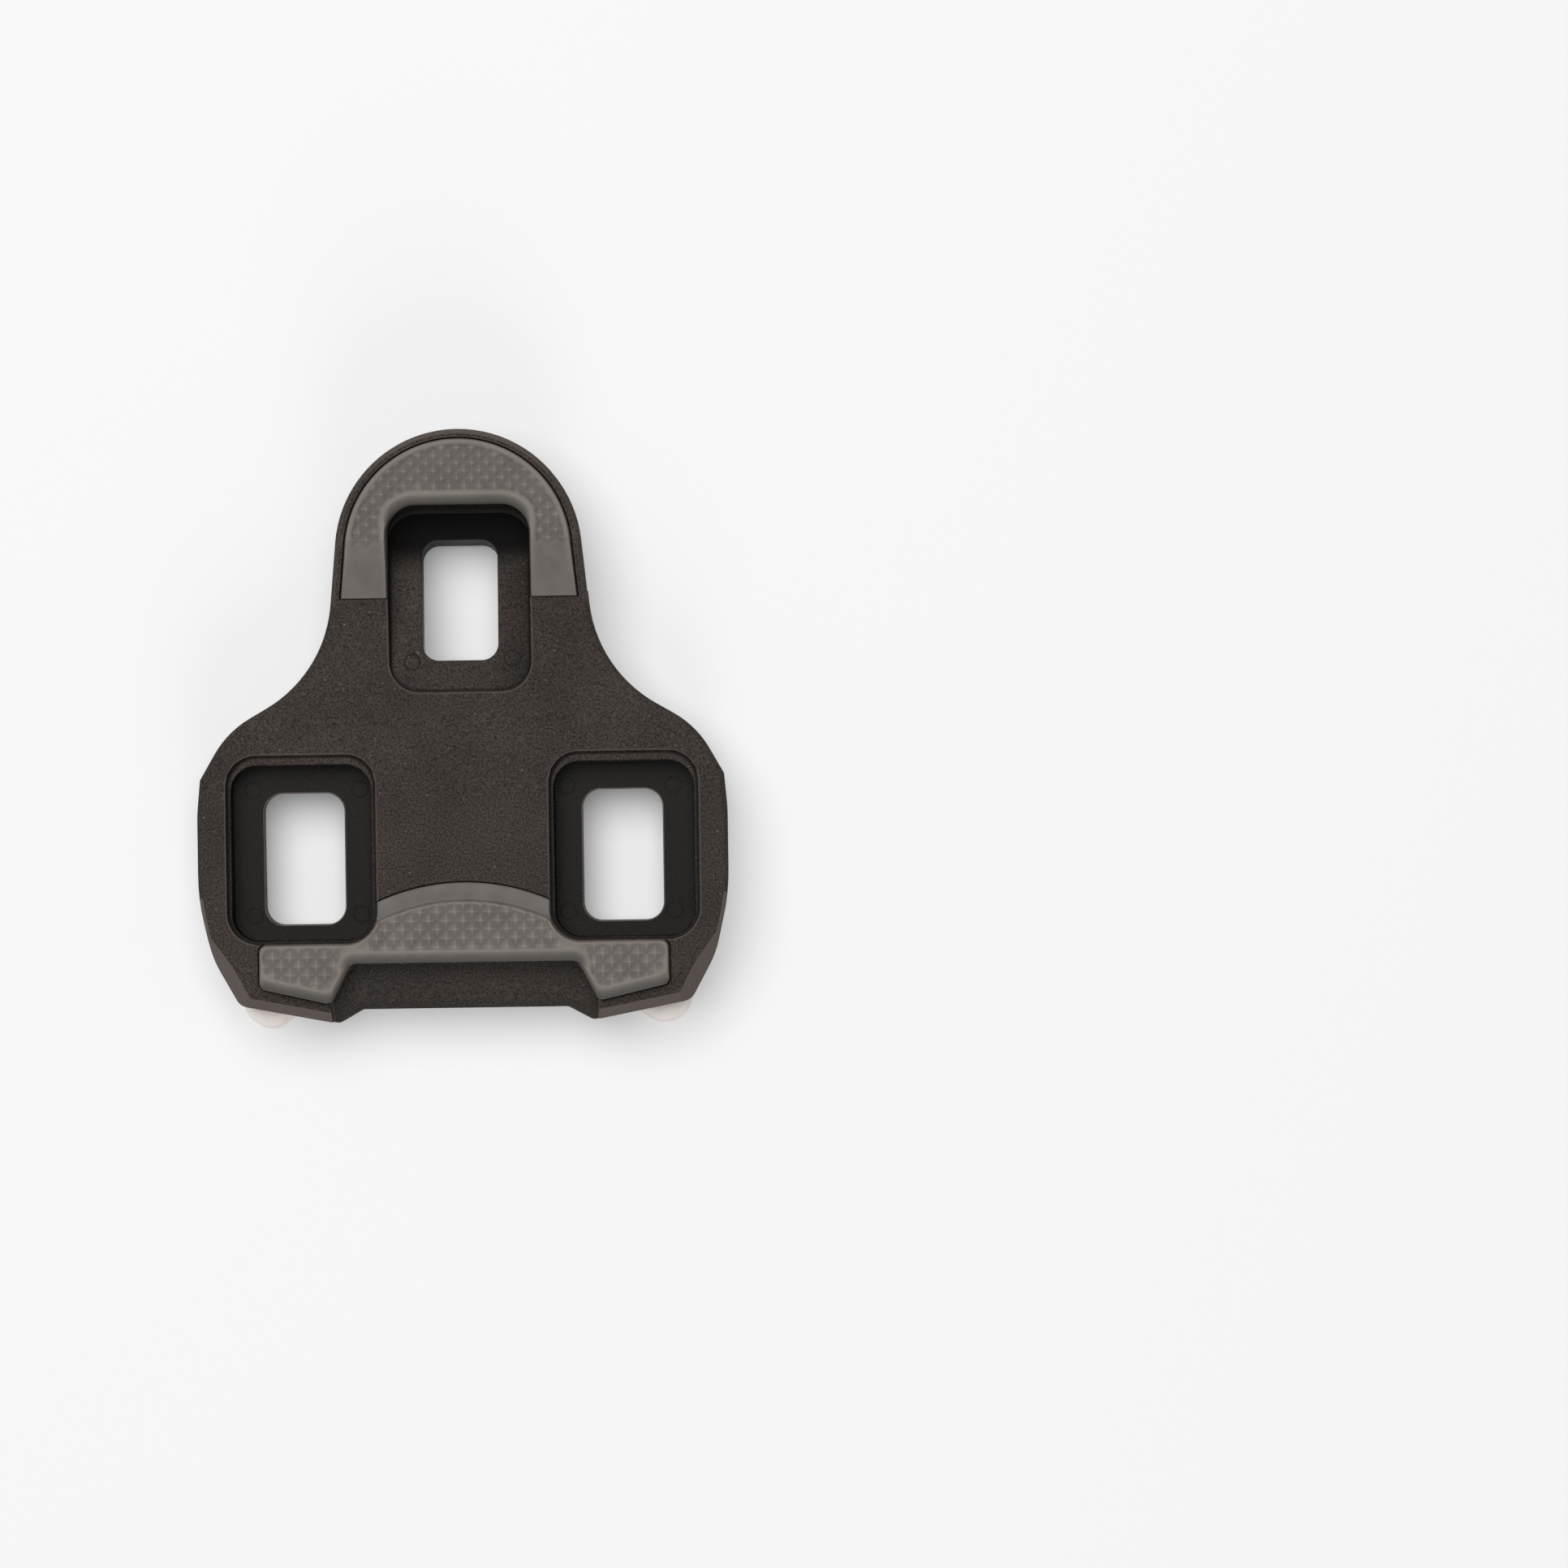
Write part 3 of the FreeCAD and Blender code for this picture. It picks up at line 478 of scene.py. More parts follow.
def rounded_points(corners: list[Corner], step: float = 0.12) -> np.ndarray:
    """Walk a closed plan shape of straight runs and tangent arcs.

    Args:
        corners: Points (x, y, radius) in millimetres where two edge lines would meet.
        step: Greatest distance between two points.

    Returns:
        Points along the shape, one row each.
    """
    places = [np.array(corner[:2]) for corner in corners]
    path: list[np.ndarray] = []
    for index, (_, _, radius) in enumerate(corners):
        here = places[index]
        back = places[index - 1] - here
        ahead = places[(index + 1) % len(places)] - here
        back /= np.linalg.norm(back)
        ahead /= np.linalg.norm(ahead)
        half = math.acos(float(np.clip(back @ ahead, -1, 1))) / 2
        reach = radius / math.tan(half)
        inward = (back + ahead) / np.linalg.norm(back + ahead)
        centre = here + inward * (radius / math.sin(half))
        start = here + back * reach - centre
        turn = math.pi - 2 * half
        sense = math.copysign(1.0, start[0] * (here - centre)[1] - start[1] * (here - centre)[0])
        count = max(1, math.ceil(radius * turn / step))
        for part in range(count + 1):
            angle = sense * turn * part / count
            path.append(centre + np.array([
                start[0] * math.cos(angle) - start[1] * math.sin(angle),
                start[0] * math.sin(angle) + start[1] * math.cos(angle),
            ]))
    points: list[np.ndarray] = []
    for index, here in enumerate(path):
        ahead = path[(index + 1) % len(path)]
        run = float(np.linalg.norm(ahead - here))
        if run < 1e-6:
            continue
        count = max(1, math.ceil(run / step))
        points += [here + (ahead - here) * part / count for part in range(count)]
    return np.array(points)


def mirrored(right_half: list[Corner]) -> list[Corner]:
    """Return the whole closed corner list from its right half."""
    return right_half + [(-x, y, radius) for x, y, radius in reversed(right_half)]


def bowed_edge(half_width: float, tip_y: float, radius: float) -> list[Corner]:
    """Return the corners of a bowed front edge from its right end to its left end."""
    slope = math.asin(half_width / radius)
    end_y = tip_y - radius * (1 - math.cos(slope))
    apex_y = end_y + half_width * math.tan(slope)
    return [(half_width, end_y, 0.0), (0.0, apex_y, radius), (-half_width, end_y, 0.0)]


def smoothstep(low: float, high: float, value: np.ndarray) -> np.ndarray:
    """Return a smooth step from 0 at low to 1 at high."""
    share = np.clip((value - low) / (high - low), 0, 1)
    return share * share * (3 - 2 * share)


def between(values: np.ndarray, low: float, high: float) -> np.ndarray:
    """Tell which values are between two limits."""
    return (values > low) & (values < high)


class Border:
    """Closed edge of a pad, with a bevel that may differ in width along it."""

    def __init__(self, points: np.ndarray, width: Callable[[np.ndarray, np.ndarray], np.ndarray]) -> None:
        """Measure the edge.

        Args:
            points: Points along the edge, in millimetres, counterclockwise.
            width: Bevel width from the middles of the edge's runs and their inward directions.
        """
        area = np.sum(points[:, 0] * np.roll(points[:, 1], -1) - points[:, 1] * np.roll(points[:, 0], -1))
        self.points = points if area > 0 else points[::-1]
        ahead = np.roll(self.points, -1, axis=0)
        self.runs = ahead - self.points
        lengths = np.linalg.norm(self.runs, axis=1, keepdims=True)
        along = self.runs / lengths
        self.inward = np.stack([-along[:, 1], along[:, 0]], axis=1)
        self.widths = width((self.points + ahead) / 2, self.inward)

    def depth(self, places: np.ndarray) -> tuple[np.ndarray, np.ndarray]:
        """Measure how far inside the edge some places are.

        Args:
            places: Plan points in millimetres.

        Returns:
            The least distance as a share of the bevel's width there, and the least distance.
        """
        share = np.full(len(places), np.inf)
        least = np.full(len(places), np.inf)
        squares = np.sum(self.runs ** 2, axis=1)
        for first in range(0, len(places), 2000):
            part = places[first:first + 2000]
            offset = part[:, None, :] - self.points[None, :, :]
            along = np.clip(np.sum(offset * self.runs, axis=2) / squares, 0, 1)
            gap = np.linalg.norm(offset - along[:, :, None] * self.runs, axis=2)
            least[first:first + 2000] = gap.min(axis=1)
            share[first:first + 2000] = (gap / self.widths).min(axis=1)
        return share, least

    def rings(self, shares: tuple[float, ...], slack: float = 0.03) -> np.ndarray:
        """Make points on lines inside the edge.

        Args:
            shares: Where the lines run, as shares of the bevel's width.
            slack: How much nearer to another stretch of the edge a point may be.

        Returns:
            The points, one row each.
        """
        inward = self.inward + np.roll(self.inward, 1, axis=0)
        inward /= np.linalg.norm(inward, axis=1, keepdims=True)
        widths = (self.widths + np.roll(self.widths, 1)) / 2
        found = []
        for part in shares:
            ring = self.points + inward * (widths * part)[:, None]
            share, _ = self.depth(ring)
            found.append(ring[share > part - slack])
        return np.concatenate(found)


# Mesh helpers


def new_piece(name: str, vertices: list | np.ndarray, faces: list, material: bpy.types.Material) -> bpy.types.Object:
    """Make a mesh piece that rides on the cleat.

    Args:
        name: The piece's name.
        vertices: Points in metres.
        faces: Vertex numbers of each face.
        material: Its finish.

    Returns:
        The new object.
    """
    mesh = bpy.data.meshes.new(name)
    mesh.from_pydata([tuple(map(float, vertex)) for vertex in vertices], [], faces)
    mesh.validate()
    return adopt(name, mesh, material)


def adopt(name: str, mesh: bpy.types.Mesh, material: bpy.types.Material) -> bpy.types.Object:
    """Put a mesh in the scene as a piece that rides on the cleat.

    Args:
        name: The piece's name.
        mesh: Its mesh, in metres.
        material: Its finish.

    Returns:
        The new object.
    """
    piece = bpy.data.objects.new(name, mesh)
    bpy.context.scene.collection.objects.link(piece)
    mesh.materials.clear()
    mesh.materials.append(material)
    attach(piece, BODY)
    return piece


def shade(mesh: bpy.types.Mesh, sharp_deg: float) -> None:
    """Shade a mesh smooth, apart from edges sharper than an angle."""
    mesh.polygons.foreach_set("use_smooth", [True] * len(mesh.polygons))
    mesh.set_sharp_from_angle(angle=math.radians(sharp_deg))


def write_shares(mesh: bpy.types.Mesh, name: str, domain: str, values: np.ndarray) -> None:
    """Store a share from 0 to 1 for each vertex (POINT) or face (FACE) of a mesh."""
    attribute = mesh.attributes.new(name, "FLOAT", domain)
    attribute.data.foreach_set("value", values.astype(np.float32))


# Pieces of the cleat


@dataclass
class Knurl:
    """Two crossing families of rounded V grooves that leave small pyramids."""

    pitch: float
    depth: float = 0.30
    softness: float = 0.12
    ridge_width: float = 0.15
    peak_power: float = 1.8
    groove_from: float = 0.7
    across: float = 0.0
    along: float = 0.0

    def falls(self, places: np.ndarray) -> tuple[np.ndarray, np.ndarray]:
        """Return how far each family has fallen from its ridge lines, from 0 to 1 in a groove."""
        u = (places[:, 0] - self.across + places[:, 1] - self.along) / math.sqrt(2) / self.pitch
        v = (places[:, 0] - self.across - places[:, 1] + self.along) / math.sqrt(2) / self.pitch
        return 2 * np.abs(u - np.round(u)), 2 * np.abs(v - np.round(v))

    def height(self, places: np.ndarray) -> np.ndarray:
        """Return the height of the knurl below its peaks, from 0 at a pyramid's tip to 1 in a groove."""
        fall_u, fall_v = self.falls(places)
        soft = self.softness
        top = np.maximum(fall_u, fall_v)
        low = np.minimum(fall_u, fall_v)
        near = np.clip(1 - (top - low) / soft, 0, 1)
        rounded = top + soft * 0.25 * near * near
        groove = np.clip((rounded - 1 + soft) / soft, 0, 1)
        return np.clip(rounded - 0.5 * soft * groove * groove, 0, 1)

    def ridges(self, places: np.ndarray) -> np.ndarray:
        """Return 1 on the pyramids' peaks, fading out along their ridges and beside them."""
        fall_u, fall_v = self.falls(places)
        line = np.exp(-((fall_u - fall_v) / self.ridge_width) ** 2)
        return line * np.clip(1 - np.maximum(fall_u, fall_v), 0, 1) ** self.peak_power

    def grooves(self, places: np.ndarray) -> np.ndarray:
        """Return 1 along the bottoms of the grooves, fading to 0 beside them."""
        fall_u, fall_v = self.falls(places)
        return np.clip((np.maximum(fall_u, fall_v) - self.groove_from) / (1 - self.groove_from), 0, 1)

    def lattice(self, low: np.ndarray, high: np.ndarray, parts: int = 10) -> np.ndarray:
        """Return mesh points in line with the grooves, over a plan box.

        Args:
            low: Lowest corner of the box.
            high: Highest corner of the box.
            parts: Number of mesh steps in a pitch.

        Returns:
            The points in the box.
        """
        step = self.pitch / parts
        reach = int((high - low).sum() / step) + 2
        rows, columns = np.meshgrid(np.arange(-reach, reach + 1), np.arange(-reach, reach + 1))
        u = rows.ravel() * step
        v = columns.ravel() * step
        x = (u + v) / math.sqrt(2) + self.across
        y = (u - v) / math.sqrt(2) + self.along
        inside = (x > low[0]) & (x < high[0]) & (y > low[1]) & (y < high[1])
        return np.stack([x[inside], y[inside]], axis=1)


@dataclass
class GripPad:
    """A grip pad: a flat-bottomed rubber insert with a bevelled, knurled top."""

    name: str
    node: str
    floor_z: float
    knurl: Knurl
    bevel_depth: float = 0.62
    edge_width: float = 0.2
    rear_edge_width: float = 1.2
    plain_margin: Span = (0.12, 0.50)
    wear_reach: Span = (0.18, 0.40)
    edge_wear: float = 0.42
    peak_wear_and_highlight_share: float = 0.62
    groove_shade: float = 0.5
    wall_fade: Span = (0.1, 0.95)
    merge: Span = (-0.03, 0.05)
    crown_share: float = 0.35
    least_share: float = 0.01
    rearward: Span = (0.25, 0.8)
    ring_shares: tuple[float, ...] = (0.1, 0.28, 0.5, 0.72, 0.88, 1.0)
    lattice_from: Span = (1.04, 0.08)
    sharp_deg: float = 62.0

    def corners(self) -> list[Corner]:
        """Return the corners of the pad's plan shape."""
        raise NotImplementedError

    def bevel_width(self, middles: np.ndarray, inward: np.ndarray) -> np.ndarray:
        """Return the bevel's width along the edge, wider where the edge faces the rear."""
        rearward = smoothstep(*self.rearward, inward[:, 1])
        return self.edge_width + (self.rear_edge_width - self.edge_width) * rearward

    def raised(self, places: np.ndarray) -> np.ndarray:
        """Return the height of the plane that the knurl's peaks lie in, in millimetres."""
        raise NotImplementedError

    def smooth(self, places: np.ndarray) -> np.ndarray:
        """Return the height of the smooth face, which is the surface where it is the lower one."""
        raise NotImplementedError

    def surface(self, places: np.ndarray, share: np.ndarray,
                least: np.ndarray) -> tuple[np.ndarray, dict[str, np.ndarray]]:
        """Shape the upper surface.

        Args:
            places: Plan points in millimetres.
            share: Distance from the edge as a share of the bevel's width.
            least: Distance from the edge in millimetres.

        Returns:
            Height in millimetres of each point, and its shares of wear, of painted shade on the bevel and in the
            grooves, and of worn peaks with a painted highlight.
        """
        inside = np.clip(share, 0, 1)
        crown = np.sqrt(1 - (1 - inside) ** 2)
        rounded = self.crown_share * crown + (1 - self.crown_share) * inside
        fall = self.bevel_depth * (1 - rounded)
        known = np.maximum(share, self.least_share)
        width = np.where(share > self.least_share, least / known, self.edge_width)
        margin = least - width
        field = smoothstep(*self.plain_margin, margin)
        knurled = self.raised(places) - self.knurl.depth * self.knurl.height(places) * field
        smooth = self.smooth(places)
        height = np.minimum(knurled, smooth) - fall
        shows = field * smoothstep(*self.merge, smooth - knurled)
        reach = np.where(margin < 0, *self.wear_reach)
        # Painted shade on the bevel, darkest at the pad's outer edge.
        walled = 1 - smoothstep(*self.wall_fade, share)
        return height, {
            "wear": self.edge_wear * np.exp(-(margin / reach) ** 2),
            # Painted shade on the bevel and in the knurl's grooves.
            "wall": np.maximum(walled, self.groove_shade * self.knurl.grooves(places) * shows),
            # Wear and painted highlight on the pyramids' tips and ridges.
            "peak_wear_and_highlight": self.peak_wear_and_highlight_share * self.knurl.ridges(places) * shows,
        }

    def build(self, material: bpy.types.Material, slot: str) -> bpy.types.Object:
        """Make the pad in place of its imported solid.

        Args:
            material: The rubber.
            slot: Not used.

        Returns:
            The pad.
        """
        border = Border(rounded_points(self.corners()), self.bevel_width)
        rim = border.points
        rings = border.rings(self.ring_shares)
        low = rim.min(axis=0)
        high = rim.max(axis=0)
        lattice = self.knurl.lattice(low, high)
        share, least = border.depth(lattice)
        least_share, least_gap = self.lattice_from
        lattice = lattice[(share > least_share) & (least > least_gap) & self.within(lattice, rim)]
        points = np.concatenate([rim, rings, lattice])
        count = len(rim)
        loop = list(range(count))
        flat = [Vector(map(float, point)) for point in points]
        found = geometry.delaunay_2d_cdt(flat, [], [loop], 1, 1e-5)
        places = np.array([tuple(vertex) for vertex in found[0]])
        faces = [list(face) for face in found[2]]
        origin = {old: new for new, olds in enumerate(found[3]) for old in olds}
        share, least = border.depth(places)
        height, shares = self.surface(places, share, least)
        upper = np.column_stack([places, height])
        rim_now = [origin[index] for index in loop]
        below = list(range(len(upper), len(upper) + count))
        lower = [(*places[index], self.floor_z) for index in rim_now]
        walls = []
        for index in range(count):
            ahead = (index + 1) % count
            walls.append([rim_now[index], below[index], below[ahead], rim_now[ahead]])
        vertices = np.concatenate([upper, np.array(lower)])
        piece = new_piece(self.name, vertices * MM, faces + walls + [below[::-1]], material)
        for name, values in shares.items():
            write_shares(piece.data, name, "POINT", np.concatenate([values, np.zeros(count)]))
        shade(piece.data, self.sharp_deg)
        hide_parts(self.node)
        LOG.info("%s: %d faces", self.name, len(piece.data.polygons))
        return piece

    @staticmethod
    def within(places: np.ndarray, rim: np.ndarray) -> np.ndarray:
        """Tell which places are inside a closed edge."""
        inside = np.zeros(len(places), bool)
        ahead = np.roll(rim, -1, axis=0)
        for (x1, y1), (x2, y2) in zip(rim, ahead):
            crosses = (y1 > places[:, 1]) != (y2 > places[:, 1])
            if y1 != y2:
                at_x = x1 + (places[:, 1] - y1) * (x2 - x1) / (y2 - y1)
                inside ^= crosses & (places[:, 0] < at_x)
        return inside


@dataclass
class FrontGripPad(GripPad):
    """Horseshoe round the nose: knurled in front, a smooth ramp behind."""

    name: str = "front_grip"
    node: str = "front_grip_pad"
    floor_z: float = 8.9
    knurl: Knurl = field(default_factory=lambda: Knurl(pitch=1.22, along=28.3, peak_power=3.5,
                                                       groove_from=0.55))
    nose_tip_y: float = 32.85
    nose_radius: float = 12.9
    side_x: float = 13.511
    rear_y: float = 14.7
    pocket_x: float = 8.15
    pocket_front_y: float = 25.4
    pocket_corner: float = 3.4
    break_y: float = 21.4
    break_z: float = 11.9
    tip_fall: float = 0.6 / 12.65
    rear_z: float = 10.01
    rear_edge_width: float = 1.1
    ramp_edge_width: float = 0.12
    ramp_edge_run: float = 2.0
    plain_margin: Span = (0.35, 0.85)
    ramp_wear: float = 0.2

    def corners(self) -> list[Corner]:
        """Return the corners of the horseshoe."""
        centre_y = self.nose_tip_y - self.nose_radius
        down = centre_y - self.rear_y
        slant = math.hypot(self.side_x, down)
        lean = math.atan2(self.side_x, down) - math.asin(self.nose_radius / slant)
        tip_x = self.side_x - (self.nose_tip_y - self.rear_y) * math.tan(lean)
        return [
            (tip_x, self.nose_tip_y, self.nose_radius - 0.001),
            (-tip_x, self.nose_tip_y, self.nose_radius - 0.001),
            (-self.side_x, self.rear_y, 0.0),
            (-self.pocket_x, self.rear_y, 0.0),
            (-self.pocket_x, self.pocket_front_y, self.pocket_corner),
            (self.pocket_x, self.pocket_front_y, self.pocket_corner),
            (self.pocket_x, self.rear_y, 0.0),
            (self.side_x, self.rear_y, 0.0),
        ]

    def bevel_width(self, middles: np.ndarray, inward: np.ndarray) -> np.ndarray:
        """Return the bevel's width, which runs out along the smooth ramp."""
        width = super().bevel_width(middles, inward)
        ramp = smoothstep(self.rear_y + self.ramp_edge_run, self.break_y, middles[:, 1])
        return self.ramp_edge_width + (width - self.ramp_edge_width) * ramp

    def surface(self, places: np.ndarray, share: np.ndarray,
                least: np.ndarray) -> tuple[np.ndarray, dict[str, np.ndarray]]:
        """Shape the upper surface, whose edges are hardly worn beside the smooth ramp."""
        height, shares = super().surface(places, share, least)
        ahead = smoothstep(self.rear_y + self.ramp_edge_run, self.break_y, places[:, 1])
        shares["wear"] *= self.ramp_wear + (1 - self.ramp_wear) * ahead
        return height, shares

    def raised(self, places: np.ndarray) -> np.ndarray:
        """Return the height of the nose plane, carried on past its rear end."""
        return self.break_z - self.tip_fall * (places[:, 1] - self.break_y)

    def smooth(self, places: np.ndarray) -> np.ndarray:
        """Return the height of the smooth ramp, in which the knurl's grooves run out."""
        rise = (self.break_z - self.rear_z) / (self.break_y - self.rear_y)
        return self.rear_z + rise * (places[:, 1] - self.rear_y)


@dataclass
class RearGripPad(GripPad):
    """Wing-shaped pad at the rear: a smooth flush band, then a raised knurled block."""

    name: str = "rear_grip"
    node: str = "rear_grip_pad"
    floor_z: float = 8.9
    knurl: Knurl = field(default_factory=lambda: Knurl(pitch=1.4, along=-24.0))
    top_z: float = 10.9
    band_z: float = 10.02
    step_slope: float = 2.4
    front_y: float = -17.7
    front_radius: float = 23.9
    step_y: float = -19.6
    step_radius: float = 22.9
    pocket_x: float = 9.8
    pocket_y: float = -24.5
    pocket_corner: float = 3.6
    lobe_x: float = 23.35
    lobe_rear_y: float = -29.5
    lobe_tip: Span = (15.3, -31.35)
    root: Span = (12.9, -26.75)
    band_edge_width: float = 0.1
    band_blend: Span = (-0.1, 0.3)
    band_reach: float = 0.05
    band_drop: float = 0.15
    crest_reach: float = 0.16
    lobe_overlap: float = 0.4

    def corners(self) -> list[Corner]:
        """Return the corners of the whole pad."""
        front = bowed_edge(self.pocket_x, self.front_y, self.front_radius)
        left = [
            (-self.pocket_x, self.pocket_y, self.pocket_corner),
            (-self.lobe_x, self.pocket_y, 0.9),
            (-self.lobe_x, self.lobe_rear_y, 0.9),
            (-self.lobe_tip[0], self.lobe_tip[1], 0.8),
            (-self.root[0], self.root[1], 1.0),
        ]
        right = [(-x, y, radius) for x, y, radius in reversed(left)]
        return front + left + right

    def behind_step(self, places: np.ndarray) -> np.ndarray:
        """Return how far each place is behind the step of the raised block."""
        centre_y = self.step_y - self.step_radius
        behind = self.step_radius - np.hypot(places[:, 0], places[:, 1] - centre_y)
        return np.where(np.abs(places[:, 0]) > self.root[0] - self.lobe_overlap, self.step_radius, behind)

    def bevel_width(self, middles: np.ndarray, inward: np.ndarray) -> np.ndarray:
        """Return the bevel's width, which is small round the smooth band."""
        width = super().bevel_width(middles, inward)
        raised = smoothstep(*self.band_blend, self.behind_step(middles))
        return self.band_edge_width + (width - self.band_edge_width) * raised

    def raised(self, places: np.ndarray) -> np.ndarray:
        """Return the height of the raised block."""
        return np.full(len(places), self.top_z)

    def smooth(self, places: np.ndarray) -> np.ndarray:
        """Return the height of the flush band, and of the step's slanted face behind it."""
        return self.band_z + np.clip(self.behind_step(places), 0, None) * self.step_slope

    def surface(self, places: np.ndarray, share: np.ndarray,
                least: np.ndarray) -> tuple[np.ndarray, dict[str, np.ndarray]]:
        """Shape the upper surface, with worn rubber along the step as well."""
        height, shares = super().surface(places, share, least)
        behind = self.behind_step(places)
        flat = behind < self.band_reach
        height = np.where(flat, np.maximum(height, self.band_z - self.band_drop), height)
        crest = (self.top_z - self.band_z) / self.step_slope
        step = self.edge_wear * np.exp(-((behind - crest) / self.crest_reach) ** 2)
        shares["wear"] = np.where(flat, 0.0, np.maximum(shares["wear"], step))
        # No painted shade on the flat smooth band.
        shares["wall"] = np.where(flat, 0.0, shares["wall"])
        return height, shares


@dataclass
class CornerPads:
    """Round soft pads set in the shoe side under the two rear corners."""

    node: str = "rear_corner_pad"
    radius: float = 3.62
    shrink: float = 0.01
    sag_depth: float = 0.035
    sag_scale: float = 1.3
    sag_rise: float = 0.5
    seed: float = 4.0
    segments: int = 64
    sharp_deg: float = 60.0
    profile: tuple[Span, ...] = (
        (0.30, 0.03), (0.62, 0.01), (0.84, 0.02), (0.95, 0.10), (0.99, 0.32), (1.0, 0.62),
        (0.985, 1.05), (0.94, 1.55), (0.87, 2.0), (0.78, 2.38), (0.66, 2.68), (0.50, 2.88), (0.28, 2.97),
    )
    bulge: float = 0.5
    bulge_angle_deg: float = 238.0
    bulge_fade: Span = (0.45, 1.0)

    def reach(self, side: Side, angle: float, share: float, z: float) -> float:
        """Return how far a pad reaches, which sags a little and bulges where it stands out.

        Args:
            side: Right or left.
            angle: Direction in plan.
            share: Share of the radius that the profile has there.
            z: Height in millimetres.

        Returns:
            The distance from the pad's middle in millimetres.
        """
        place = Vector((math.cos(angle) * self.sag_scale, math.sin(angle) * self.sag_scale,
                        z * self.sag_rise + self.seed * side.value))
        radius = self.radius * (1 - self.sag_depth * abs(noise.noise(place)) - self.shrink)
        outward = self.bulge_angle_deg if side is Side.LEFT else 180 - self.bulge_angle_deg
        towards = math.cos(angle - math.radians(outward))
        bulged = self.bulge * float(smoothstep(*self.bulge_fade, np.float64(towards)))
        return (radius + bulged) * share

    def build(self, side: Side, material: bpy.types.Material, slot: str) -> bpy.types.Object:
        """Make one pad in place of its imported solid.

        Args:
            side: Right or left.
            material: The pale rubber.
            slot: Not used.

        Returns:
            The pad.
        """
        node = f"{self.node}_{side.name.lower()}"
        low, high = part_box(node)
        middle = (low + high) / 2
        vertices: list[tuple[float, float, float]] = []
        for share, z in self.profile:
            for index in range(self.segments):
                angle = 2 * math.pi * index / self.segments
                reach = self.reach(side, angle, share, z)
                vertices.append((middle.x + reach * math.cos(angle) * MM,
                                 middle.y + reach * math.sin(angle) * MM, z * MM))
        faces: list[list[int]] = []
        for ring in range(len(self.profile) - 1):
            for index in range(self.segments):
                ahead = (index + 1) % self.segments
                first = ring * self.segments
                faces.append([first + index, first + ahead, first + self.segments + ahead,
                              first + self.segments + index])
        last = (len(self.profile) - 1) * self.segments
        faces.append(list(reversed(range(self.segments))))
        faces.append(list(range(last, last + self.segments)))
        piece = new_piece(f"corner_pad_{side.name.lower()}", vertices, faces, material)
        shade(piece.data, self.sharp_deg)
        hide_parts(node)
        LOG.info("%s: %d faces", piece.name, len(piece.data.polygons))
        return piece


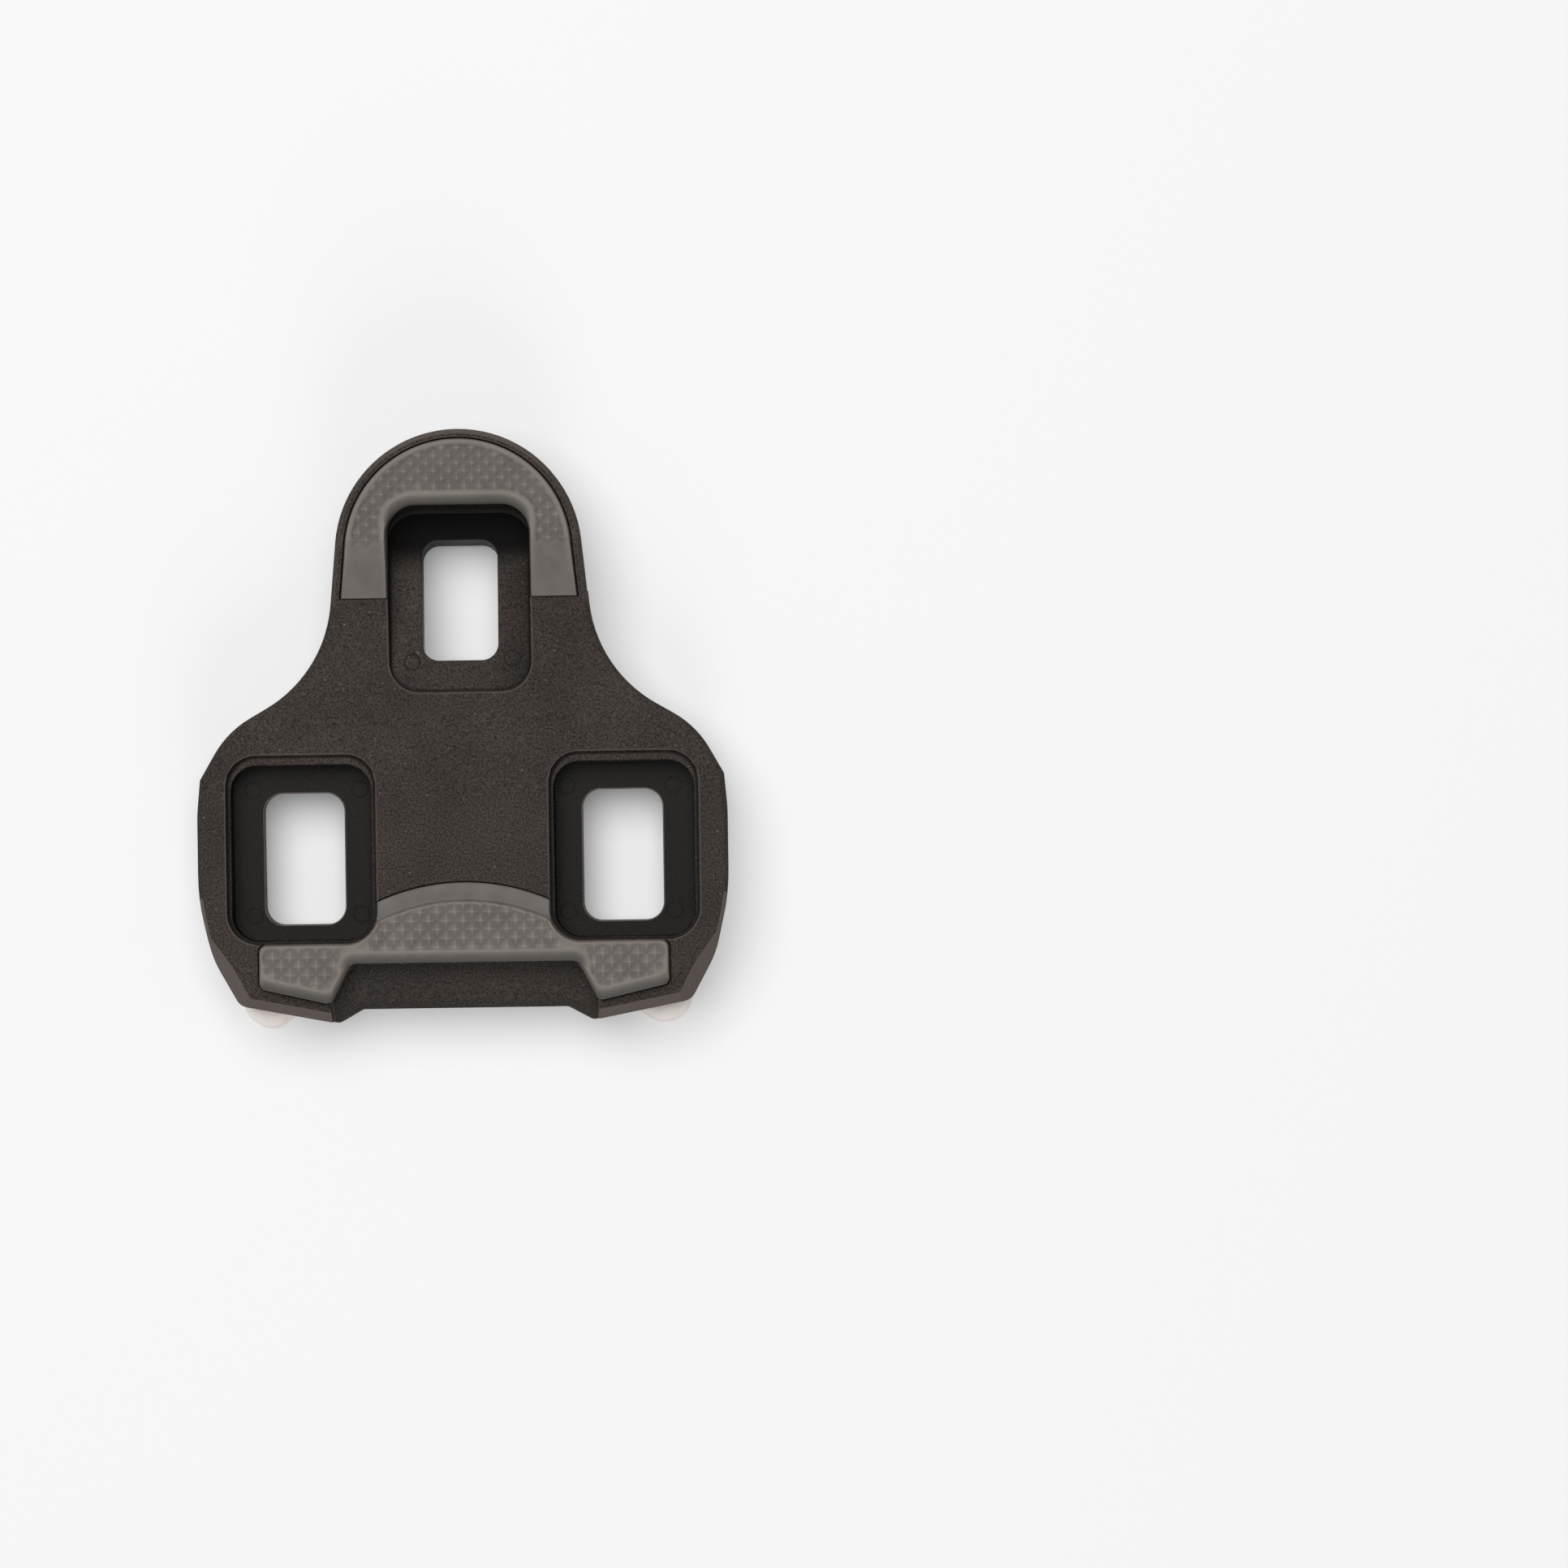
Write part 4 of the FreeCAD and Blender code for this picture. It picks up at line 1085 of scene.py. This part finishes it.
@dataclass
class CleatBody:
    """The black moulding, with the softened edges that its mould gives."""

    node: str = "cleat_body"
    edge_radius: float = 0.13
    edge_segments: int = 2
    edge_angle_deg: float = 24.0
    pocket_x: float = 18.4
    pocket_half_width: float = 8.55
    pocket_y: Span = (-24.45, -2.95)
    step_z: float = 8.9
    front_step: Span = (7.3, 8.3)
    platform_z: float = 10.0
    front_pocket: tuple[float, float, float] = (8.1, 4.05, 25.35)
    flank_front_y: float = -19.0
    lug_inner_x: float = 13.0
    nose_rim_y: float = 10.0
    nose_pad: Span = (19.95, 12.95)
    slot_x: float = 18.2
    slot_y: float = -14.8
    slot_half: Span = (4.8, 7.8)
    rear_floor_z: float = 5.9
    neck_low: Span = (3.9, 7.93)
    neck_rise: float = 0.1925
    ledge_scuff: float = 0.08
    lip_highlight: float = 0.35
    rim_highlight: Span = (0.22, 0.68)
    tongue: tuple[float, float, float] = (12.6, -27.0, 5.0)
    tongue_polish_and_shade: float = 0.3
    rim_drop: float = 0.15
    step_margin: float = 0.14
    slot_margin: float = 0.2
    lip_depth: float = 0.3
    lug_above: float = 1.0
    floor_up: float = 0.6
    ledge_up: float = 0.3
    level_up: float = 0.9
    rim_up: float = 0.2
    tongue_up: float = 0.5
    lip_up: Span = (0.3, 0.97)
    lug_up: Span = (0.4, 0.9)
    slot_up: Span = (0.1, 0.98)
    rim_fade: Span = (0.5, 1.0)
    flat_angle_deg: float = 0.5
    sharp_deg: float = 44.0

    def build(self, material: bpy.types.Material, slot: str) -> bpy.types.Object:
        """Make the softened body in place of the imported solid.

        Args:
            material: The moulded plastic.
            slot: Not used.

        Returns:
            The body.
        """
        work = bmesh.new()
        work.from_mesh(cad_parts[self.node].data)
        bmesh.ops.remove_doubles(work, verts=work.verts, dist=1e-6)
        bmesh.ops.dissolve_limit(work, angle_limit=math.radians(self.flat_angle_deg), verts=work.verts,
                                 edges=work.edges)
        mesh = bpy.data.meshes.new("body_moulding")
        work.to_mesh(mesh)
        work.free()
        piece = adopt("body_moulding", mesh, material)
        bevel = piece.modifiers.new("soft edges", "BEVEL")
        bevel.width = self.edge_radius * MM
        bevel.segments = self.edge_segments
        bevel.limit_method = "ANGLE"
        bevel.angle_limit = math.radians(self.edge_angle_deg)
        bevel.use_clamp_overlap = False
        bevel.miter_outer = "MITER_ARC"
        softened = self.settle(piece)
        shade(softened, self.sharp_deg)
        piece.modifiers.new("normals", "WEIGHTED_NORMAL").keep_sharp = True
        self.write_skin(self.settle(piece))
        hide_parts(self.node)
        LOG.info("%s: %d faces", piece.name, len(piece.data.polygons))
        return piece

    @staticmethod
    def settle(piece: bpy.types.Object) -> bpy.types.Mesh:
        """Turn a piece's modifiers into its mesh, and return that mesh."""
        graph = bpy.context.evaluated_depsgraph_get()
        piece.data = bpy.data.meshes.new_from_object(piece.evaluated_get(graph))
        piece.modifiers.clear()
        return piece.data

    @staticmethod
    def faces(mesh: bpy.types.Mesh) -> tuple[np.ndarray, np.ndarray, np.ndarray, np.ndarray]:
        """Return x without its sign, y and z of the faces, in millimetres, and how far they face up."""
        centres = np.empty(len(mesh.polygons) * 3)
        normals = np.empty(len(mesh.polygons) * 3)
        mesh.polygons.foreach_get("center", centres)
        mesh.polygons.foreach_get("normal", normals)
        x, y, z = (centres.reshape(-1, 3) / MM).T
        return np.abs(x), y, z, normals.reshape(-1, 3)[:, 2]

    def write_skin(self, mesh: bpy.types.Mesh) -> None:
        """Mark the faces that aren't plain grained plastic, and those that take painted shade or highlight."""
        x, y, z, up = self.faces(mesh)
        rear_plan = (np.abs(x - self.pocket_x) < self.pocket_half_width) & (y < self.pocket_y[1])
        rear_pocket = rear_plan & (y > self.pocket_y[0]) & (z < self.platform_z - self.rim_drop)
        half_width, rear_y, front_y = self.front_pocket
        front_pocket = (x < half_width) & between(y, rear_y, front_y)
        centre_y, reach = self.nose_pad
        front_ledge = front_pocket & (y > centre_y) & between(z, *self.front_step)
        # The front pocket's floor, which takes painted shade.
        painted_shade = front_pocket & (up > self.floor_up) & ~front_ledge
        ledge = rear_pocket & (np.abs(z - self.step_z) < self.step_margin) & (up > self.ledge_up)
        lip = (front_pocket | rear_plan) & (y > self.pocket_y[0]) & between(up, *self.lip_up)
        lip &= z > self.neck_top(y) - self.lip_depth
        lug = (y < self.flank_front_y) & (x > self.lug_inner_x) & between(up, *self.lug_up)
        lug &= z > self.lug_above
        rim = (y > self.nose_rim_y) & (np.hypot(x, y - centre_y) > reach) & (up > self.rim_up)
        rim &= (z > self.platform_z) & ~front_pocket & ~lip
        half_x, half_y = self.slot_half
        slot = (np.abs(x - self.slot_x) < half_x) & (np.abs(y - self.slot_y) < half_y)
        slot &= (np.abs(z - self.rear_floor_z) < self.slot_margin) & between(up, *self.slot_up)
        tongue_x, tongue_y, tongue_z = self.tongue
        tongue = (x < tongue_x) & (y < tongue_y) & (z > tongue_z) & (up > self.tongue_up)
        # Glossy faces with painted shade: the rear pockets and the front pocket's sides and ledge; the tongue takes
        # part of it.
        polished_shaded = (rear_pocket & ~slot | front_pocket & ~painted_shade) & ~lip
        # Painted highlight on the nose rim, stronger where it faces the nose and the key light.
        low_highlight, high_highlight = self.rim_highlight
        ahead = smoothstep(*self.rim_fade, (y - centre_y) / np.hypot(x, y - centre_y))
        # Painted highlight on lug bevels and slot rims, fainter on pocket lips.
        painted_highlight = np.where(lip, self.lip_highlight, 1.0) * (lug & ~rear_pocket | slot | lip)
        marks = {
            Skin.POLISHED_SHADED: np.where(tongue, self.tongue_polish_and_shade, polished_shaded),
            Skin.PAINTED_SHADE: painted_shade & ~lip,
            Skin.SCUFFED: np.where(up > self.level_up, self.ledge_scuff, 1.0) * ledge,
            Skin.PAINTED_HIGHLIGHT: np.where(rim, low_highlight + (high_highlight - low_highlight) * ahead, painted_highlight),
        }
        for skin, shares in marks.items():
            write_shares(mesh, skin.value, "FACE", shares)

    def neck_top(self, y: np.ndarray) -> np.ndarray:
        """Return the height of the body's upper face round the pockets."""
        ramp = self.neck_low[1] + (y - self.neck_low[0]) * self.neck_rise
        return np.where(y > self.neck_low[0], ramp, self.platform_z)


@dataclass
class EjectorMarks:
    """Faint rings that the mould's ejector pins left on the pocket floors."""

    radius: float = 0.9
    half_width: float = 0.12
    crest_share: float = 0.4
    rise: float = 0.06
    rear_floor_z: float = 5.9
    rear_middle: Span = (17.95, -14.05)
    rear_spread: Span = (6.1, 7.15)
    front_places: tuple[tuple[float, float], ...] = ((-5.5, 7.5), (5.9, 7.8))
    front_floor_start: Span = (4.1, 8.3244)
    front_tilt_deg: float = 7.0
    segments: int = 40

    def ring(self, middle: Vector, tilt_deg: float) -> tuple[list[Vector], list[list[int]]]:
        """Return the points, in millimetres, and the faces of one ring.

        Args:
            middle: Middle of the ring on its floor.
            tilt_deg: How far the floor leans down to the nose.

        Returns:
            The points and the faces.
        """
        crest = self.half_width * self.crest_share
        section = [(-self.half_width, -self.rise), (-crest, self.rise),
                   (crest, self.rise), (self.half_width, -self.rise)]
        fall = math.tan(math.radians(tilt_deg))
        points = []
        for index in range(self.segments):
            angle = 2 * math.pi * index / self.segments
            for across, up in section:
                reach = self.radius + across
                y = reach * math.sin(angle)
                points.append(middle + Vector((reach * math.cos(angle), y, up - y * fall)))
        size = len(section)
        faces = []
        for index in range(self.segments):
            ahead = (index + 1) % self.segments
            for corner in range(size):
                after = (corner + 1) % size
                faces.append([index * size + corner, index * size + after,
                              ahead * size + after, ahead * size + corner])
        return points, faces

    def build(self, material: bpy.types.Material, slot: str) -> bpy.types.Object:
        """Make all rings as one piece.

        Args:
            material: The moulded plastic.
            slot: Not used.

        Returns:
            The rings.
        """
        places = []
        for x_side in (-1, 1):
            for across in (-1, 1):
                for along in (-1, 1):
                    x = x_side * self.rear_middle[0] + across * self.rear_spread[0]
                    y = self.rear_middle[1] + along * self.rear_spread[1]
                    places.append((Vector((x, y, self.rear_floor_z)), 0.0))
        start_y, start_z = self.front_floor_start
        fall = math.tan(math.radians(self.front_tilt_deg))
        for x, y in self.front_places:
            places.append((Vector((x, y, start_z - (y - start_y) * fall)), self.front_tilt_deg))
        points: list[Vector] = []
        faces: list[list[int]] = []
        for middle, tilt_deg in places:
            ring_points, ring_faces = self.ring(middle, tilt_deg)
            faces += [[index + len(points) for index in face] for face in ring_faces]
            points += ring_points
        piece = new_piece("ejector_marks", [point * MM for point in points], faces, material)
        # The rings take the glossy finish with its painted shade.
        write_shares(piece.data, Skin.POLISHED_SHADED.value, "FACE", np.ones(len(faces)))
        LOG.info("%s: %d faces", piece.name, len(piece.data.polygons))
        return piece


# Studio


@dataclass
class Studio:
    """White sweep, soft light from the top left, and a camera straight above."""

    floor_reach: float = 3.0
    floor_colour: Colour = (0.895, 0.895, 0.895)
    paper_glow: float = 0.4
    slot_glow: float = 0.15
    slot_centres_mm: tuple[tuple[float, float], ...] = ((0.0, 14.55), (18.2, -14.8), (-18.2, -14.8))
    slot_reach_mm: Span = (9.5, 11.5)
    world_strength: float = 0.12
    key_place: tuple[float, float, float] = (-0.22, 0.47, 1.28)
    key_size: float = 1.4
    key_power: float = 21.4
    fill_place: Colour = (0.12, -0.88, 0.45)
    fill_size: float = 0.5
    fill_power: float = 2.7
    focal_mm: float = 169.4
    camera_height: float = 0.85
    camera_sees: Span = (0.01, 20.0)
    camera_offset_mm: Span = (36.8, -6.48)
    roll_deg: float = -0.85

    def floor(self) -> bpy.types.Object:
        """Return the floor that the cleat lies on."""
        reach = self.floor_reach
        mesh = bpy.data.meshes.new("floor")
        mesh.from_pydata([(-reach, -reach, 0), (reach, -reach, 0), (reach, reach, 0), (-reach, reach, 0)],
                         [], [(0, 1, 2, 3)])
        floor = bpy.data.objects.new("floor", mesh)
        bpy.context.scene.collection.objects.link(floor)
        shader = Shader("paper")
        shader.surface.inputs["Base Color"].default_value = (*self.floor_colour, 1.0)
        shader.surface.inputs["Roughness"].default_value = 0.9
        shader.surface.inputs["Specular IOR Level"].default_value = 0.0
        self.glow(shader)
        mesh.materials.append(shader.material)
        return floor

    def glow(self, shader: Shader) -> None:
        """Lift the shadows that the camera sees on the paper, less where it shows in the slots."""
        glow = shader.add("ShaderNodeEmission", Color=(*self.floor_colour, 1.0), Strength=1.0)
        reach = self.slot_reach_mm
        lift = shader.add("ShaderNodeMapRange", From_Min=reach[0] * MM, From_Max=reach[1] * MM,
                          To_Min=self.slot_glow, To_Max=self.paper_glow)
        shader.link(*self.nearest_slot(shader), lift, "Value")
        ray = shader.add("ShaderNodeLightPath")
        mix = shader.add("ShaderNodeMixShader")
        share = shader.maths("MULTIPLY", (ray, "Is Camera Ray"), (lift, "Result"))
        shader.link(*share, mix, 0)
        shader.link(shader.surface, "BSDF", mix, 1)
        shader.link(glow, "Emission", mix, 2)
        shader.link(mix, "Shader", shader.output, "Surface")

    def nearest_slot(self, shader: Shader) -> Output:
        """Return the distance to the middle of the nearest bolt slot."""
        nearest = self.floor_reach
        for x, y in self.slot_centres_mm:
            gap = shader.add("ShaderNodeVectorMath")
            gap.operation = "DISTANCE"
            shader.link(shader.place, "Object", gap, 0)
            gap.inputs[1].default_value = (x * MM, y * MM, 0.0)
            nearest = shader.maths("MINIMUM", nearest, (gap, "Value"))
        return nearest

    def world(self) -> None:
        """Light everything softly from all round, in front of a white background."""
        world = bpy.data.worlds.new("studio")
        bpy.context.scene.world = world
        world.use_nodes = True
        tree = world.node_tree
        tree.nodes.clear()
        light = tree.nodes.new("ShaderNodeBackground")
        light.inputs["Color"].default_value = (1.0, 1.0, 1.0, 1.0)
        light.inputs["Strength"].default_value = self.world_strength
        seen = tree.nodes.new("ShaderNodeBackground")
        seen.inputs["Color"].default_value = (0.9, 0.9, 0.9, 1.0)
        seen.inputs["Strength"].default_value = 1.0
        ray = tree.nodes.new("ShaderNodeLightPath")
        mix = tree.nodes.new("ShaderNodeMixShader")
        output = tree.nodes.new("ShaderNodeOutputWorld")
        tree.links.new(ray.outputs["Is Camera Ray"], mix.inputs[0])
        tree.links.new(light.outputs[0], mix.inputs[1])
        tree.links.new(seen.outputs[0], mix.inputs[2])
        tree.links.new(mix.outputs[0], output.inputs["Surface"])

    @staticmethod
    def lamp(name: str, place: tuple[float, float, float], size: float, power: float) -> None:
        """Hang a round soft lamp that points at the cleat.

        Args:
            name: The lamp's name.
            place: Where it hangs, in metres.
            size: Its diameter in metres.
            power: Its power in watts.
        """
        light = bpy.data.lights.new(name, "AREA")
        light.shape = "DISK"
        light.size = size
        light.energy = power
        lamp = bpy.data.objects.new(name, light)
        bpy.context.scene.collection.objects.link(lamp)
        lamp.location = place
        lamp.rotation_mode = "QUATERNION"
        lamp.rotation_quaternion = (-Vector(place)).to_track_quat("-Z", "Y")
        lamp.visible_camera = False

    def camera(self) -> None:
        """Set the camera straight above, at the middle of the photograph's frame."""
        data = bpy.data.cameras.new("camera")
        data.lens = self.focal_mm
        data.clip_start, data.clip_end = self.camera_sees
        camera = bpy.data.objects.new("camera", data)
        bpy.context.scene.collection.objects.link(camera)
        roll = math.radians(self.roll_deg)
        across, up = self.camera_offset_mm
        camera.location = ((across * math.cos(roll) - up * math.sin(roll)) * MM,
                           (across * math.sin(roll) + up * math.cos(roll)) * MM, self.camera_height)
        camera.rotation_euler = (0.0, 0.0, roll)
        bpy.context.scene.camera = camera

    def build(self) -> None:
        """Set up the floor, the light and the camera."""
        self.camera()
        self.floor()
        self.world()
        self.lamp("key", self.key_place, self.key_size, self.key_power)
        self.lamp("fill", self.fill_place, self.fill_size, self.fill_power)
        bpy.context.scene.view_settings.view_transform = "Standard"
        LOG.info("studio is set")


def main() -> None:
    """Build the studio and every piece of the cleat."""
    logging.basicConfig(level=logging.INFO, format="%(name)s %(message)s")
    Studio().build()
    plastic = MouldedPlastic().build()
    rubber = GripRubber().build()
    pale = PaleRubber().build()
    CleatBody().build(plastic, "body_plastic")
    EjectorMarks().build(plastic, "body_plastic")
    FrontGripPad().build(rubber, "grip_rubber")
    RearGripPad().build(rubber, "grip_rubber")
    for side in Side:
        CornerPads().build(side, pale, "corner_rubber")


if __name__ == "__main__":
    main()
